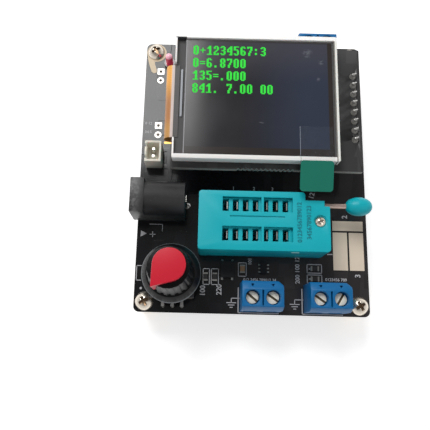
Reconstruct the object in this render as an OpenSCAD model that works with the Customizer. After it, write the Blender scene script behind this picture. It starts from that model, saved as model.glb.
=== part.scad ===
// Bench component tester: a bare main board on four standoffs, with a colour
// display module, a lever-operated zero-force test socket, a push-and-turn
// encoder, three two-pole screw terminals, a power jack and a battery socket.
// Millimetres, +Z up, +Y towards the display, +X right. The origin is the
// centre of the four standoff feet, on the plane that the tester stands on.
// Places on the board are measured from its front left corner and its top.

/* [Main board] */
// Width of the main board, left to right
board_w = 62.4; // [62:0.2:80]
// Length of the main board, front to back
board_l = 78; // [77.5:0.5:100]
// Thickness of the main board
board_t = 1.6; // [1.2:0.1:2.4]
// Radius of the main board's corners
board_corner_r = 1.5; // [0.5:0.1:2.5]
// Distance from the board's edges to the centre of each corner hole
hole_inset = 2.8; // [2.5:0.1:3.2]
// Diameter of the corner holes
hole_d = 2.8; // [2.6:0.1:3.2]
// Radial room round each soldered lead in its hole
lead_clearance = 0.15; // [0.1:0.05:0.3]
// Thickness of the tinned test pads and lands
tin_t = 0.1; // [0.05:0.05:0.2]

/* [Standoffs and screws] */
// Height of the hexagonal standoffs under the board
standoff_h = 10; // [8:0.5:20]
// Width of a standoff across its flats
standoff_af = 4.8; // [4:0.1:5.4]
// Diameter of the tapped hole in a standoff's foot
tapped_d = 2.1; // [1.6:0.1:2.2]
// Diameter of the tapped hole that takes a corner screw
screw_bore_d = 2.6; // [2.5:0.1:2.6]
// Depth of the tapped hole from a standoff's foot
foot_thread_l = 4; // [2:0.5:5]
// Diameter of a corner screw's pan head
screw_head_d = 5; // [4:0.1:5.2]
// Height of a corner screw's pan head
screw_head_h = 1.8; // [1.2:0.1:2.4]
// Length of a corner screw inside its standoff
screw_grip = 3; // [2:0.5:3.5]

/* [Display module] */
// Width of the display's circuit board beside the frame, under the header pins
header_margin_w = 6.6; // [6:0.1:8]
// Length of the display's circuit board, front to back
module_l = 34.2; // [33:0.2:38]
// Thickness of the display's circuit board
module_t = 1.6; // [1:0.1:2]
// Distance from the main board's right edge to the display board's
module_right_gap = 4; // [3.6:0.1:6]
// Distance from the main board's front edge to the display board's
module_y = 35.8; // [35:0.1:40]
// Height of the eight-way socket that the display plugs into
display_socket_h = 8.5; // [8:0.5:12]
// Height of the plastic strip on the display's header pins
header_strip_h = 2.5; // [2:0.1:3]
// Spacing of the header pins and of the test socket's contacts
pitch = 2.54; // [2.5:0.01:2.6]
// Number of header pins
header_count = 8; // [4:1:9]
// Thickness of the foam tape under the backlight frame
tape_t = 0.3; // [0.2:0.1:0.6]
// Width of the white backlight frame
frame_w = 42.2; // [40:0.2:43]
// Length of the white backlight frame, front to back
frame_l = 34.4; // [33:0.2:36]
// Height of the white backlight frame
frame_h = 2.8; // [2.4:0.1:4]
// Width of the frame's visible right border
frame_right_wall = 0.8; // [0.6:0.1:2.5]
// Width of the frame's front and back borders
frame_end_wall = 1.1; // [0.8:0.1:2]
// Width of the frame's thin left border
frame_left_wall = 0.4; // [0.4:0.1:1]
// Thickness of each of the two glass layers
glass_t = 0.7; // [0.5:0.1:1]
// Width of the bare glass ledge that carries the driver chip
ledge_w = 2.2; // [2:0.1:4]
// Width of the green pull tab and its clear film
tab_w = 8.3; // [6:0.1:12]
// Distance from the frame's right side to the pull tab
tab_right_gap = 1.7; // [0.6:0.1:6]
// Length of the green pull tab past the frame
tab_l = 7.7; // [5:0.1:8.4]
// Downward slope of the green pull tab
tab_slope = 16; // [10:1:45]

/* [Test socket] */
// Length of the test socket, left to right
zif_l = 33.2; // [32:0.2:34]
// Width of the test socket, front to back
zif_w = 15.2; // [15:0.1:17]
// Height of the test socket above the main board
zif_h = 11.1; // [10:0.1:14]
// Distance from the board's left edge to the test socket
zif_x = 16.7; // [16.4:0.1:18]
// Distance from the board's front edge to the test socket
zif_y = 15.3; // [15:0.1:17]
// Height of the test socket's fixed base
zif_base_h = 5.4; // [4:0.1:6]
// Contacts in each of the two rows
zif_columns = 7; // [6:1:7]
// Distance between the two rows of contacts
zif_row_pitch = 7.62; // [7.4:0.01:8]
// Wall of the socket's cover
zif_wall = 1.2; // [0.8:0.1:1.4]
// Thickness of the cover's top
zif_top_t = 0.9; // [0.6:0.1:1.4]
// Travel of the slider that opens the contacts
zif_travel = 0.8; // [0.5:0.1:0.9]
// Diameter of the lever's steel rod
lever_rod_d = 1.3; // [1:0.1:1.5]
// Distance from the lever's pivot to the middle of its knob
lever_reach = 8.6; // [8:0.1:12]
// Length of the lever's oval knob
lever_knob_l = 6.9; // [5:0.1:8]
// Diameter of the lever's oval knob
lever_knob_d = 4.9; // [3.5:0.1:5]

/* [Encoder and knob] */
// Distance from the board's left edge to the encoder's axis
encoder_x = 10.3; // [10:0.1:10.6]
// Distance from the board's front edge to the encoder's axis
encoder_y = 9.3; // [9:0.1:10]
// Width of the encoder's body
encoder_w = 11.4; // [11:0.1:12.4]
// Height of the encoder's body
encoder_h = 6.4; // [5.5:0.1:8]
// Length of the encoder's round bushing
bushing_h = 4.8; // [3:0.1:5.5]
// Diameter of the encoder's bushing
bushing_d = 7; // [6.8:0.1:8]
// Diameter of the encoder's shaft
shaft_d = 6; // [5:0.1:6.2]
// Travel of the shaft when it is pressed
push_travel = 0.5; // [0.3:0.1:0.8]
// Diameter of the knob's skirt
knob_skirt_d = 14.8; // [13:0.1:15.4]
// Height of the knob without its pointer
knob_h = 12.4; // [11:0.1:16]
// Diameter of the knob's fluted body at its top
knob_top_d = 9.7; // [9.6:0.1:11]
// Number of flutes round the knob
flute_count = 20; // [12:1:24]
// Radius of the pointer's round part
pointer_r = 3.8; // [3.4:0.1:4.2]
// Distance from the knob's axis to the pointer's tip
pointer_reach = 5.9; // [5.4:0.1:7]
// Distance from the knob's axis back to the middle of the pointer's round part
pointer_back = 0.5; // [0:0.1:0.8]
// Direction of the pointer's tip, from +X
pointer_angle = 232; // [0:1:359]

/* [Screw terminals] */
// Width of a two-pole terminal block
terminal_w = 10.3; // [10.2:0.1:11]
// Depth of a terminal block, from its wire side to its back
terminal_d = 7.7; // [7.6:0.1:8.4]
// Height of a terminal block
terminal_h = 10; // [9.6:0.1:12]
// Spacing of the two poles
pole_pitch = 5.08; // [5:0.01:5.2]
// Distance from the board's left edge to the left terminal block
terminal_left_x = 28; // [27:0.1:29]
// Distance from the board's right edge to the right terminal block
terminal_right_gap = 7.2; // [6.6:0.1:8]
// Distance from the board's right edge to the rear terminal block
terminal_rear_gap = 9; // [8:0.1:10]
// Distance from the board's edge to a block's wire side
terminal_edge = 0.3; // [0.1:0.1:0.8]
// Diameter of a terminal screw's head
terminal_head_d = 3.1; // [2.8:0.1:3.2]
// Lift of the clamp cage when its screw is tightened
cage_lift = 1.75; // [1:0.05:1.8]

/* [Power inlets] */
// Distance from the board's front edge to the power jack
jack_y = 24.6; // [24.4:0.1:26]
// Length of the power jack
jack_l = 14; // [12:0.1:14.4]
// Width of the power jack
jack_w = 9; // [8.6:0.1:9.6]
// Height of the power jack
jack_h = 10.8; // [10.4:0.1:12]
// Diameter of the power jack's barrel opening
jack_bore_d = 6.3; // [5.8:0.1:6.6]
// Diameter of the power jack's centre pin
jack_pin_d = 2; // [1.6:0.1:2.6]
// Length by which the power jack stands over the board's left edge
jack_overhang = 1; // [0:0.1:2]
// Distance from the board's front edge to the battery socket
battery_y = 39.6; // [38:0.1:41]
// Height of the battery socket
battery_h = 6; // [5:0.1:7.6]

/* [Small parts] */
// Diameter of the power light's narrow lens
led_d = 2; // [1.8:0.1:2.6]
// Width of the microcontroller's square body
mcu_w = 7; // [5:0.1:10]
// Length of the crystal's can
crystal_l = 11; // [8:0.1:12]

/* [Hidden] */
$fn = 48;

// Cuts run past the faces that they open by this much
cut = 1;
// Gap between pieces that slide past each other
slide_gap = 0.3;
// Radial gap of a shaft that turns in a bore
running_gap = 0.05;
// Radial gap of a rod that is fixed in a bore
fixed_gap = 0.03;

board_top = standoff_h + board_t;
board_colour = "#16181b";
steel_colour = "silver";
tin_colour = "#b9b2a3";
teal_colour = "#19a5b4";
blue_colour = "#1668a8";
black_colour = "#1c1c1e";
brass_colour = "#c2a25a";

// ---- Shared shapes -------------------------------------------------------

module on_board()
    translate([-board_w / 2, -board_l / 2, board_top]) children();

// Flat outline with round corners, its corner at the origin
module rounded_rect(w, l, r) {
    translate([r, 0]) square([w - 2 * r, l]);
    translate([0, r]) square([w, l - 2 * r]);
    for (x = [r, w - r], y = [r, l - r]) translate([x, y]) circle(r = r);
}

module rounded_plate(w, l, t, r)
    linear_extrude(t) rounded_rect(w, l, r);

// Block whose centre line stands on the place, from z0 up to z1
module block(place, w, l, z0, z1)
    translate([place[0] - w / 2, place[1] - l / 2, z0]) cube([w, l, z1 - z0]);

// Upright round bar or hole on the place, from z0 up to z1
module post(place, d, z0, z1)
    translate([place[0], place[1], z0]) cylinder(h = z1 - z0, d = d);

// Hole through the main board for a lead of the given diameter
module lead_hole(place, d)
    post(place, d + 2 * lead_clearance, -board_t - cut, cut);

// Points of a row of count places at a spacing, from a first place
function row(first, step, count) = [for (i = [0:count - 1]) first + i * step];

// ---- Places on the board ---------------------------------------------------

corner_places = [for (x = [hole_inset, board_w - hole_inset],
    y = [hole_inset, board_l - hole_inset]) [x, y]];

// Leads are round or square; their holes are drilled for this size
lead_d = 0.8;
thin_lead = 0.5;

frame_left_gap = 0.2;
header_edge_gap = 1.9;
module_w = frame_left_gap + frame_w + header_margin_w;
module_x = board_w - module_right_gap - module_w;
header_x = board_w - module_right_gap - header_edge_gap;
header_mid_y = module_y + module_l / 2 + 0.4;
header_first = [header_x, header_mid_y - (header_count - 1) * pitch / 2];
header_places = row(header_first, [0, pitch], header_count);

zif_mid_x = zif_x + 14.5;
zif_front_row_y = zif_y + 4.15;
zif_places = [for (r = [0, 1], i = [0:zif_columns - 1])
    [zif_mid_x + (i - (zif_columns - 1) / 2) * pitch, zif_front_row_y + r * zif_row_pitch]];

encoder_place = [encoder_x, encoder_y];
encoder_pin_spacing = 2.5;
encoder_front_pins = row(encoder_place + [-encoder_pin_spacing, -7.5], [encoder_pin_spacing, 0], 3);
encoder_back_pins = row(encoder_place + [-encoder_pin_spacing, 7], [2 * encoder_pin_spacing, 0], 2);
encoder_leg_t = 0.5;
encoder_leg_places = [for (s = [-1, 1]) encoder_place + [s * (encoder_w / 2 + encoder_leg_t / 2), 0]];

terminal_right_x = board_w - terminal_right_gap - terminal_w;

// Each terminal block: its front left corner as seen from its wire side, and its turn
terminal_blocks = [
    [[terminal_left_x, terminal_edge], 0],
    [[terminal_right_x, terminal_edge], 0],
    [[board_w - terminal_rear_gap, board_l - terminal_edge], 180]];
pole_x = [(terminal_w - pole_pitch) / 2, (terminal_w + pole_pitch) / 2];
pole_y = 3.6;
terminal_leg_y = 6.25;
function turned(p, angle) = angle == 180 ? [-p[0], -p[1]] : p;
terminal_lead_places = [for (b = terminal_blocks, x = pole_x)
    b[0] + turned([x, terminal_leg_y], b[1])];

jack_x = -jack_overhang;
jack_mid_y = jack_y + jack_w / 2;
jack_rear_lead = [jack_x + jack_l + 0.25, jack_mid_y];
jack_under_lead = [jack_x + jack_l - 6, jack_mid_y];
jack_leads = [jack_rear_lead, jack_under_lead];

battery_w = 4.5;
battery_l = 5.9;
battery_x = 1.6;
battery_pitch = 2;
battery_places = row([battery_x + battery_w / 2, battery_y + (battery_l - battery_pitch) / 2],
    [0, battery_pitch], 2);

led_place = [6.9, board_l - 6.45];
led_leads = [for (s = [-1, 1]) led_place + [s * pitch / 2, 0]];

crystal_offset = [26, 22];
crystal_place = [module_x, module_y] + crystal_offset;
crystal_leads = [for (s = [-1, 1]) crystal_place + [s * 2.44, 0]];

// Bare holes for wires, a square and a round land in each pair
land_x = 4.4;
land_w = 2;
land_hole_d = 0.7;
land_pitch = 2.8;
land_pairs = [module_y + 13.7, board_l - 11.7];
land_places = [for (y = land_pairs, s = [0, 1]) [land_x, y + s * land_pitch]];

soldered = concat(header_places, zif_places, encoder_front_pins, encoder_back_pins,
    encoder_leg_places, terminal_lead_places, jack_leads, battery_places, led_leads, crystal_leads);

// ---- Main board ------------------------------------------------------------

module main_board() color(board_colour) on_board() difference() {
    translate([0, 0, -board_t]) rounded_plate(board_w, board_l, board_t, board_corner_r);
    for (p = corner_places) post(p, hole_d, -board_t - cut, cut);
    for (p = land_places) post(p, land_hole_d, -board_t - cut, cut);
    for (p = concat(header_places, zif_places, encoder_front_pins, encoder_back_pins, battery_places))
        lead_hole(p, lead_d);
    for (p = concat(led_leads, crystal_leads)) lead_hole(p, thin_lead);
    for (p = encoder_leg_places) lead_hole(p, encoder_leg_w);
    for (p = terminal_lead_places) lead_hole(p, terminal_leg_w);
    for (p = jack_leads) lead_hole(p, jack_blade_w);
}

module board_standoffs() color(brass_colour) on_board()
    for (p = corner_places) translate([p[0], p[1], -board_top]) difference() {
        cylinder(h = standoff_h, d = standoff_af / cos(30), $fn = 6);
        translate([0, 0, -cut]) cylinder(h = foot_thread_l + cut, d = tapped_d);
        translate([0, 0, standoff_h - screw_bore_l]) cylinder(h = screw_bore_l + cut, d = screw_bore_d);
    }

screw_bore_l = screw_grip + 0.5;
screw_core_d = screw_bore_d - 2 * fixed_gap;
recess_w = 0.8;
recess_l = 2.6;
recess_depth = 1;

// Pan head: a ball cut flat underneath
module pan_head(d, h) {
    ball_r = (d * d / 4 + h * h) / (2 * h);
    intersection() {
        translate([0, 0, h - ball_r]) sphere(r = ball_r, $fn = 64);
        cylinder(h = h + cut, d = d);
    }
}

module cross_recess(size, w, depth)
    for (turn = [0, 90]) rotate(turn) translate([-size / 2, -w / 2, -depth]) cube([size, w, depth + cut]);

module board_screws() color(steel_colour) on_board()
    for (p = corner_places) translate([p[0], p[1], 0]) {
        difference() {
            pan_head(screw_head_d, screw_head_h);
            translate([0, 0, screw_head_h]) rotate(30) cross_recess(recess_l, recess_w, recess_depth);
        }
        translate([0, 0, -board_t - screw_grip])
            cylinder(h = board_t + screw_grip + screw_head_h / 4, d = screw_core_d);
    }

// Three pads for parts that lie flat: one across, two side by side in front of it
pads_right_gap = 1;
pads_y = 12.2;
pads_w = 8.3;
pads_l = 13.5;
pad_split = 0.5;
back_pad_l = 2.7;

module tinned_pads() color(tin_colour) on_board() {
    pads_x = board_w - pads_right_gap - pads_w;
    front_l = pads_l - back_pad_l - pad_split;
    side_w = (pads_w - pad_split) / 2;
    translate([pads_x, pads_y + front_l + pad_split, 0]) cube([pads_w, back_pad_l, tin_t]);
    for (x = [0, side_w + pad_split]) translate([pads_x + x, pads_y, 0]) cube([side_w, front_l, tin_t]);
    for (i = [0:len(land_places) - 1]) difference() {
        if (i % 2 == 1) block(land_places[i], land_w, land_w, 0, tin_t);
        else post(land_places[i], land_w, 0, tin_t);
        post(land_places[i], land_hole_d, -cut, tin_t + cut);
    }
}

solder_d = 1.7;
solder_h = 0.9;
solder_tip_d = 0.6;
solder_tip_h = 1.4;

module solder_joints() color(steel_colour) on_board()
    for (p = soldered) translate([p[0], p[1], -board_t]) mirror([0, 0, 1]) {
        cylinder(h = solder_h, d1 = solder_d, d2 = solder_tip_d);
        cylinder(h = solder_tip_h, d = solder_tip_d);
    }

// ---- Chips -----------------------------------------------------------------

chip_lift = 0.1;

mcu_offset = [16, 18];
mcu_body_t = 1.1;
mcu_lead_pitch = 0.8;
mcu_lead_w = 0.35;
mcu_lead_l = 1;

module microcontroller() color(black_colour) on_board() {
    mid = [module_x, module_y] + mcu_offset;
    per_side = floor((mcu_w - mcu_lead_pitch) / mcu_lead_pitch);
    block(mid, mcu_w, mcu_w, chip_lift, chip_lift + mcu_body_t);
    for (turn = [0, 90, 180, 270], i = [0:per_side - 1])
        translate([mid[0], mid[1], 0]) rotate(turn)
            translate([mcu_w / 2 - cut / 2, (i - (per_side - 1) / 2) * mcu_lead_pitch - mcu_lead_w / 2, 0])
                cube([mcu_lead_l + cut / 2, mcu_lead_w, chip_lift + mcu_body_t / 3]);
}

crystal_w = 4.6;
crystal_h = 3.5;

module crystal() color(steel_colour) on_board() {
    place = [crystal_place[0] - crystal_l / 2, crystal_place[1] - crystal_w / 2, 0];
    rim = 0.4;
    translate(place + [rim, rim, rim])
        rounded_plate(crystal_l - 2 * rim, crystal_w - 2 * rim, crystal_h - rim, crystal_w / 2 - rim - 0.01);
    translate(place) rounded_plate(crystal_l, crystal_w, rim, crystal_w / 2 - 0.01);
    for (p = crystal_leads) post(p, thin_lead, -board_t, rim);
}

regulator_offset = [33, 13];
regulator_w = 4.5;
regulator_l = 2.5;
regulator_t = 1.5;
regulator_lead_w = 0.5;
regulator_tab_w = 1.7;
regulator_lead_l = 1.2;

module regulator() color(black_colour) on_board() {
    mid = [module_x, module_y] + regulator_offset;
    side_y = regulator_l / 2 + regulator_lead_l / 3;
    lead_t = chip_lift + 0.4;
    block(mid, regulator_w, regulator_l, chip_lift, chip_lift + regulator_t);
    for (i = [-1, 0, 1])
        block(mid + [i * regulator_w / 3, -side_y], regulator_lead_w, regulator_lead_l, 0, lead_t);
    block(mid + [0, side_y], regulator_tab_w, regulator_lead_l, 0, lead_t);
}

chip_lead_l = 0.8;
chip_lead_t = 0.4;

// A moulded chip with leads along its two long sides: its place and turn, its width,
// length and height, the leads on each side, their spacing and their width
module leaded_chip(place, turn, size, leads, lead_pitch, lead_w)
    translate([place[0], place[1], 0]) rotate(turn) {
        block([0, 0], size[0], size[1], chip_lift, size[2]);
        for (s = [-1, 1], i = [0:leads - 1])
            block([(i - (leads - 1) / 2) * lead_pitch, s * (size[1] + chip_lead_l / 2) / 2],
                lead_w, chip_lead_l, 0, chip_lead_t);
    }

// The parts in front of the test socket stand off its front left corner, the
// others off the display board's
socket_corner = [zif_x, zif_y];
module_corner = [module_x, module_y];
leaded_chips = [
    [socket_corner + [17.6, -3.1], 90, [3, 1.7, 1.1], 3, 0.95, 0.4],
    [socket_corner + [7.9, -3.65], 0, [3.6, 4.3, 1], 2, 2.7, 0.6],
    [module_corner + [8, 8], 0, [5, 4, 1.5], 4, 1.27, 0.4],
    [module_corner + [40, 21], 0, [3, 1.4, 1.1], 2, 1.9, 0.4]];

module small_chips() color(black_colour) on_board()
    for (c = leaded_chips) leaded_chip(c[0], c[1], c[2], c[3], c[4], c[5]);

// Soldered ceramic blocks: the middle of each, and its turn
right_block_corner = [terminal_right_x, terminal_edge + terminal_d];
chip_resistor_places = [
    [socket_corner + [2.1, -5.65], 90],
    [socket_corner + [4.6, -5.65], 90],
    [right_block_corner + [3.1, 4.45], 0],
    [right_block_corner + [3.1, 1.7], 0],
    [module_corner + [25, 10], 0],
    [module_corner + [25, 13], 0],
    [module_corner + [8, 15], 90]];
chip_capacitor_places = [
    [socket_corner + [11.95, -3.4], 90],
    [module_corner + [36, 20], 0],
    [module_corner + [8, 20], 90],
    [module_corner + [24, 17], 90]];
chip_l = 2.2;
chip_w = 1.3;
chip_end_l = 0.4;
resistor_t = 0.6;
capacitor_t = 1;

module chip(place, turn, t)
    translate([place[0], place[1], 0]) rotate(turn) {
        block([0, 0], chip_l - chip_end_l, chip_w - 0.1, 0.05, t - 0.05);
        for (s = [-1, 1]) block([s * (chip_l - chip_end_l) / 2, 0], chip_end_l, chip_w, 0, t);
    }

module chip_resistors() color(black_colour) on_board()
    for (c = chip_resistor_places) chip(c[0], c[1], resistor_t);

module chip_capacitors() color("tan") on_board()
    for (c = chip_capacitor_places) chip(c[0], c[1], capacitor_t);

// The lens stands on a wider foot that holds the leads
led_foot_d = 3.1;
led_flange_t = 0.8;
led_body_h = 3.9;

module power_led() color("crimson") on_board() translate([led_place[0], led_place[1], 0.2]) {
    cylinder(h = led_flange_t, d = led_foot_d);
    cylinder(h = led_body_h, d = led_d);
    translate([0, 0, led_body_h]) intersection() {
        sphere(d = led_d, $fn = 64);
        cylinder(h = led_d, d = led_d);
    }
    for (s = [-1, 1]) post([s * pitch / 2, 0], thin_lead, -board_t - 0.2, 0.1);
}

// ---- Power inlets ----------------------------------------------------------

battery_wall = 0.6;

module battery_socket() color("ivory") on_board() difference() {
    translate([battery_x, battery_y, 0]) cube([battery_w, battery_l, battery_h]);
    translate([battery_x + battery_wall, battery_y + battery_wall, 1.4])
        cube([battery_w - 2 * battery_wall, battery_l - 2 * battery_wall, battery_h]);
    for (s = [-1, 1]) translate([battery_x - cut, battery_y + battery_l / 2 + s * 1.6 - 0.4, 3])
        cube([battery_wall + 2 * cut, 0.8, battery_h]);
    for (p = battery_places) block(p, lead_d, lead_d, -cut, 2);
}

module battery_socket_pins() color(steel_colour) on_board()
    for (p = battery_places) block(p, 0.64, 0.64, -board_t, battery_h - 1.2);

jack_axis_z = 6.2;
jack_flange_l = 3.5;
jack_bore_l = 9.5;
jack_blade_t = 0.4;
jack_blade_w = 1.6;
jack_pin_recess = 1;
jack_pin_root_d = 1.6;

module along_x(x0, x1, d)
    translate([x0, jack_mid_y, jack_axis_z]) rotate([0, 90, 0]) cylinder(h = x1 - x0, d = d);

module dc_jack_body() color(black_colour) on_board() difference() {
    union() {
        translate([jack_x, jack_y, 0]) cube([jack_flange_l, jack_w, jack_h]);
        translate([jack_x, jack_y, 0]) cube([jack_l, jack_w, jack_axis_z]);
        along_x(jack_x, jack_x + jack_l, jack_w);
    }
    along_x(jack_x - cut, jack_x + jack_bore_l, jack_bore_d);
    along_x(jack_x, jack_x + jack_l + cut, jack_pin_root_d + 2 * fixed_gap);
    block(jack_under_lead, jack_blade_t + 0.1, jack_blade_w + 0.1, -cut, jack_axis_z);
    translate([jack_x - cut, jack_y - cut, -cut]) cube([jack_overhang + cut, jack_w + 2 * cut, cut + 0.4]);
}

module dc_jack_contacts() color(steel_colour) on_board() {
    along_x(jack_x + jack_pin_recess, jack_x + jack_bore_l, jack_pin_d);
    along_x(jack_x + jack_bore_l - cut, jack_x + jack_l + jack_blade_t / 2, jack_pin_root_d);
    translate([jack_x + jack_l, jack_mid_y - jack_blade_w / 2, -board_t])
        cube([jack_blade_t, jack_blade_w, board_t + jack_axis_z + jack_pin_d / 2]);
    block(jack_under_lead, jack_blade_t, jack_blade_w, -board_t, jack_axis_z - jack_bore_d / 2 + 0.2);
}

// ---- Display module --------------------------------------------------------

module_z = display_socket_h + header_strip_h;
module_top = module_z + module_t;
frame_z = module_top + tape_t;
frame_top = frame_z + frame_h;
frame_x = module_x + frame_left_gap;
frame_y = module_y + 1.6;
frame_floor = 0.8;
header_w = 2.5;
header_pin_w = 0.64;
pin_hole_w = 1;
pin_depth = 5;
header_span = (header_count - 1) * pitch + header_w;
header_mid = [header_x, header_mid_y];

module display_socket() color(black_colour) on_board() difference() {
    block(header_mid, header_w, header_span, 0, display_socket_h);
    for (p = header_places) {
        block(p, pin_hole_w, pin_hole_w, display_socket_h - pin_depth - 1, display_socket_h + cut);
        block(p, header_pin_w + 0.1, header_pin_w + 0.1, -cut, 2);
    }
}

module display_header() color(black_colour) on_board() difference() {
    block(header_mid, header_w, header_span, display_socket_h, module_z);
    for (p = header_places)
        block(p, header_pin_w + 0.1, header_pin_w + 0.1, display_socket_h - cut, module_z + cut);
}

// Header pins with their solder on the display board, and the socket's own leads
module display_pins() color(steel_colour) on_board()
    for (p = header_places) {
        block(p, header_pin_w, header_pin_w, display_socket_h - pin_depth, module_top + 1.3);
        translate([p[0], p[1], module_top]) cylinder(h = 0.7, d1 = 1.7, d2 = 0.9);
        block(p, header_pin_w, header_pin_w, -board_t, 1.8);
    }

module display_board() color(board_colour) on_board() difference() {
    translate([module_x, module_y, module_z]) rounded_plate(module_w, module_l, module_t, 0.4);
    for (p = header_places) post(p, 1, module_z - cut, module_top + cut);
}

module display_tape() color("whitesmoke") on_board()
    translate([frame_x + 2, frame_y + 2, module_top]) cube([frame_w - 4, module_l - 6, tape_t]);

// The room inside the frame's four borders
well_w = frame_w - frame_left_wall - frame_right_wall;
well_l = frame_l - 2 * frame_end_wall;

module backlight_frame() color("white") on_board() difference() {
    translate([frame_x, frame_y, frame_z]) rounded_plate(frame_w, frame_l, frame_h, 0.4);
    translate([frame_x + frame_left_wall, frame_y + frame_end_wall, frame_z + frame_floor])
        cube([well_w, well_l, frame_h]);
    // The cable leaves over the left wall
    translate([frame_x - cut, flex_y - 0.4, ledge_top - 0.4])
        cube([frame_left_wall + 2 * cut, flex_l + 0.8, frame_h]);
}

glass_gap = 0.05;
glass_x = frame_x + frame_left_wall + glass_gap;
glass_y = frame_y + frame_end_wall + glass_gap;
glass_z = frame_z + frame_floor;
glass_w = well_w - 2 * glass_gap;
glass_l = well_l - 2 * glass_gap;
ledge_top = glass_z + glass_t;
polariser_t = 0.2;
// The glass shows a little at the front and left, and more at the back and right
polariser_inset = 0.15;
polariser_far_inset = 0.5;

module lcd_glass() color("dimgray") on_board() {
    translate([glass_x, glass_y, glass_z]) cube([glass_w, glass_l, glass_t]);
    translate([glass_x + ledge_w, glass_y, glass_z]) cube([glass_w - ledge_w, glass_l, 2 * glass_t]);
}

polariser_top = glass_z + 2 * glass_t + polariser_t;

module polariser() color("#202328") on_board()
    translate([glass_x + ledge_w + polariser_inset, glass_y + polariser_inset, polariser_top - polariser_t])
        cube([glass_w - ledge_w - polariser_inset - polariser_far_inset,
            glass_l - polariser_inset - polariser_far_inset, polariser_t]);

driver_w = 0.6;
driver_l = 13.2;
driver_t = 0.3;
// The chip sits nearer the upper glass, and behind the middle of the cable
driver_glass_gap = 0.5;
driver_shift = 2.2;

module driver_chip() color("slategray") on_board() {
    right = glass_x + ledge_w - driver_glass_gap;
    mid_y = flex_y + flex_l / 2 + driver_shift;
    block([right - driver_w / 2, mid_y], driver_w, driver_l, ledge_top, ledge_top + driver_t);
}

// Cable that leaves the glass ledge, bulges past the board's edge and folds under it
flex_t = 0.2;
flex_l = 20;
flex_y = module_y + 7.4;
// How far the fold stands out past the display board
flex_bulge = 2.1;
// Overlap of the cable on the glass, and its tail under the display board
flex_bond_l = 0.8;
flex_tail_l = 5;
flex_top_z = ledge_top;
flex_bottom_z = module_z - flex_t;
flex_r = (flex_top_z + flex_t - flex_bottom_z) / 2;
flex_bend_x = module_x + flex_r - flex_bulge;

module flex_cable() color("darkorange") on_board()
    translate([0, flex_y + flex_l, 0]) rotate([90, 0, 0]) linear_extrude(flex_l) {
        translate([flex_bend_x, flex_top_z]) square([glass_x + flex_bond_l - flex_bend_x, flex_t]);
        translate([flex_bend_x, flex_bottom_z]) square([module_x + flex_tail_l - flex_bend_x, flex_t]);
        difference() {
            translate([flex_bend_x, flex_bottom_z + flex_r]) circle(r = flex_r, $fn = 64);
            translate([flex_bend_x, flex_bottom_z + flex_r]) circle(r = flex_r - flex_t, $fn = 64);
            translate([flex_bend_x, flex_bottom_z - cut]) square([2 * flex_r, 2 * flex_r + 2 * cut]);
        }
    }

film_t = 0.1;
film_l = 9;
tab_t = 0.2;
tab_x = frame_x + frame_w - tab_right_gap - tab_w;

module screen_film() color([0.9, 0.95, 1, 0.4]) on_board()
    translate([tab_x, frame_y + frame_end_wall + polariser_inset + glass_gap, polariser_top])
        cube([tab_w, film_l - frame_end_wall, film_t]);

module pull_tab() color("seagreen") on_board()
    translate([tab_x, frame_y + frame_end_wall, frame_top + film_t]) {
        translate([0, -frame_end_wall, 0]) cube([tab_w, frame_end_wall, tab_t]);
        translate([0, -frame_end_wall, tab_t]) rotate([tab_slope, 0, 0])
            translate([0, -tab_l, -tab_t]) rounded_plate(tab_w, tab_l, tab_t, 0.9);
    }

// ---- Test socket -----------------------------------------------------------

zif_lift = 0.4;
zif_corner_r = 0.8;
zif_step_l = 6.2;
zif_step_w = 2.1;
zif_end = zif_x + zif_l;
zif_back = zif_y + zif_w;
slot_w = 1.5;
slot_l = 3.2;
window_l = 3.8;
contact_t = 0.3;
contact_w = 2;
contact_leg_w = 0.7;
contact_z = 1.5;
contact_x = zif_travel / 2;
lever_z = zif_base_h + 2.5;
lever_x = zif_end - 0.4;
lever_y = zif_back - zif_step_w - 0.5;
crank_offset = zif_travel;
crank_y0 = zif_y + 3.4;
crank_y1 = zif_y + 5.8;
shaft_end_y = zif_y + zif_wall + 0.6;
notch_x = lever_x - lever_rod_d / 2 - slide_gap;
notch_y = lever_y - lever_rod_d / 2 - slide_gap;
slider_z0 = zif_base_h + slide_gap;
slider_z1 = zif_h - zif_top_t - slide_gap;
slider_x0 = zif_places[0][0] - slot_w / 2 - 1.6;
slider_x1 = zif_places[zif_columns - 1][0] + slot_w / 2 + 1.8;
zif_screw_place = [zif_end - 2.45, zif_y + 7.7];
zif_screw_d = 1.4;
zif_screw_head_d = 2.9;
zif_boss_d = 2.4;

module zif_outline() {
    translate([zif_x, zif_y]) rounded_rect(zif_l, zif_w - zif_step_w, zif_corner_r);
    translate([zif_x, zif_y]) rounded_rect(zif_l - zif_step_l, zif_w, zif_corner_r);
}

// The room inside the cover, clear of its walls
module zif_room() {
    inner = zif_x + zif_wall;
    translate([inner, zif_y + zif_wall]) square([zif_l - zif_step_l - 2 * zif_wall, zif_w - 2 * zif_wall]);
    translate([inner, zif_y + zif_wall])
        square([zif_l - 2 * zif_wall, zif_w - zif_step_w - 2 * zif_wall]);
}

module lever_bore(d, y0, y1)
    translate([lever_x, y1, lever_z]) rotate([90, 0, 0]) cylinder(h = y1 - y0, d = d);

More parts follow.
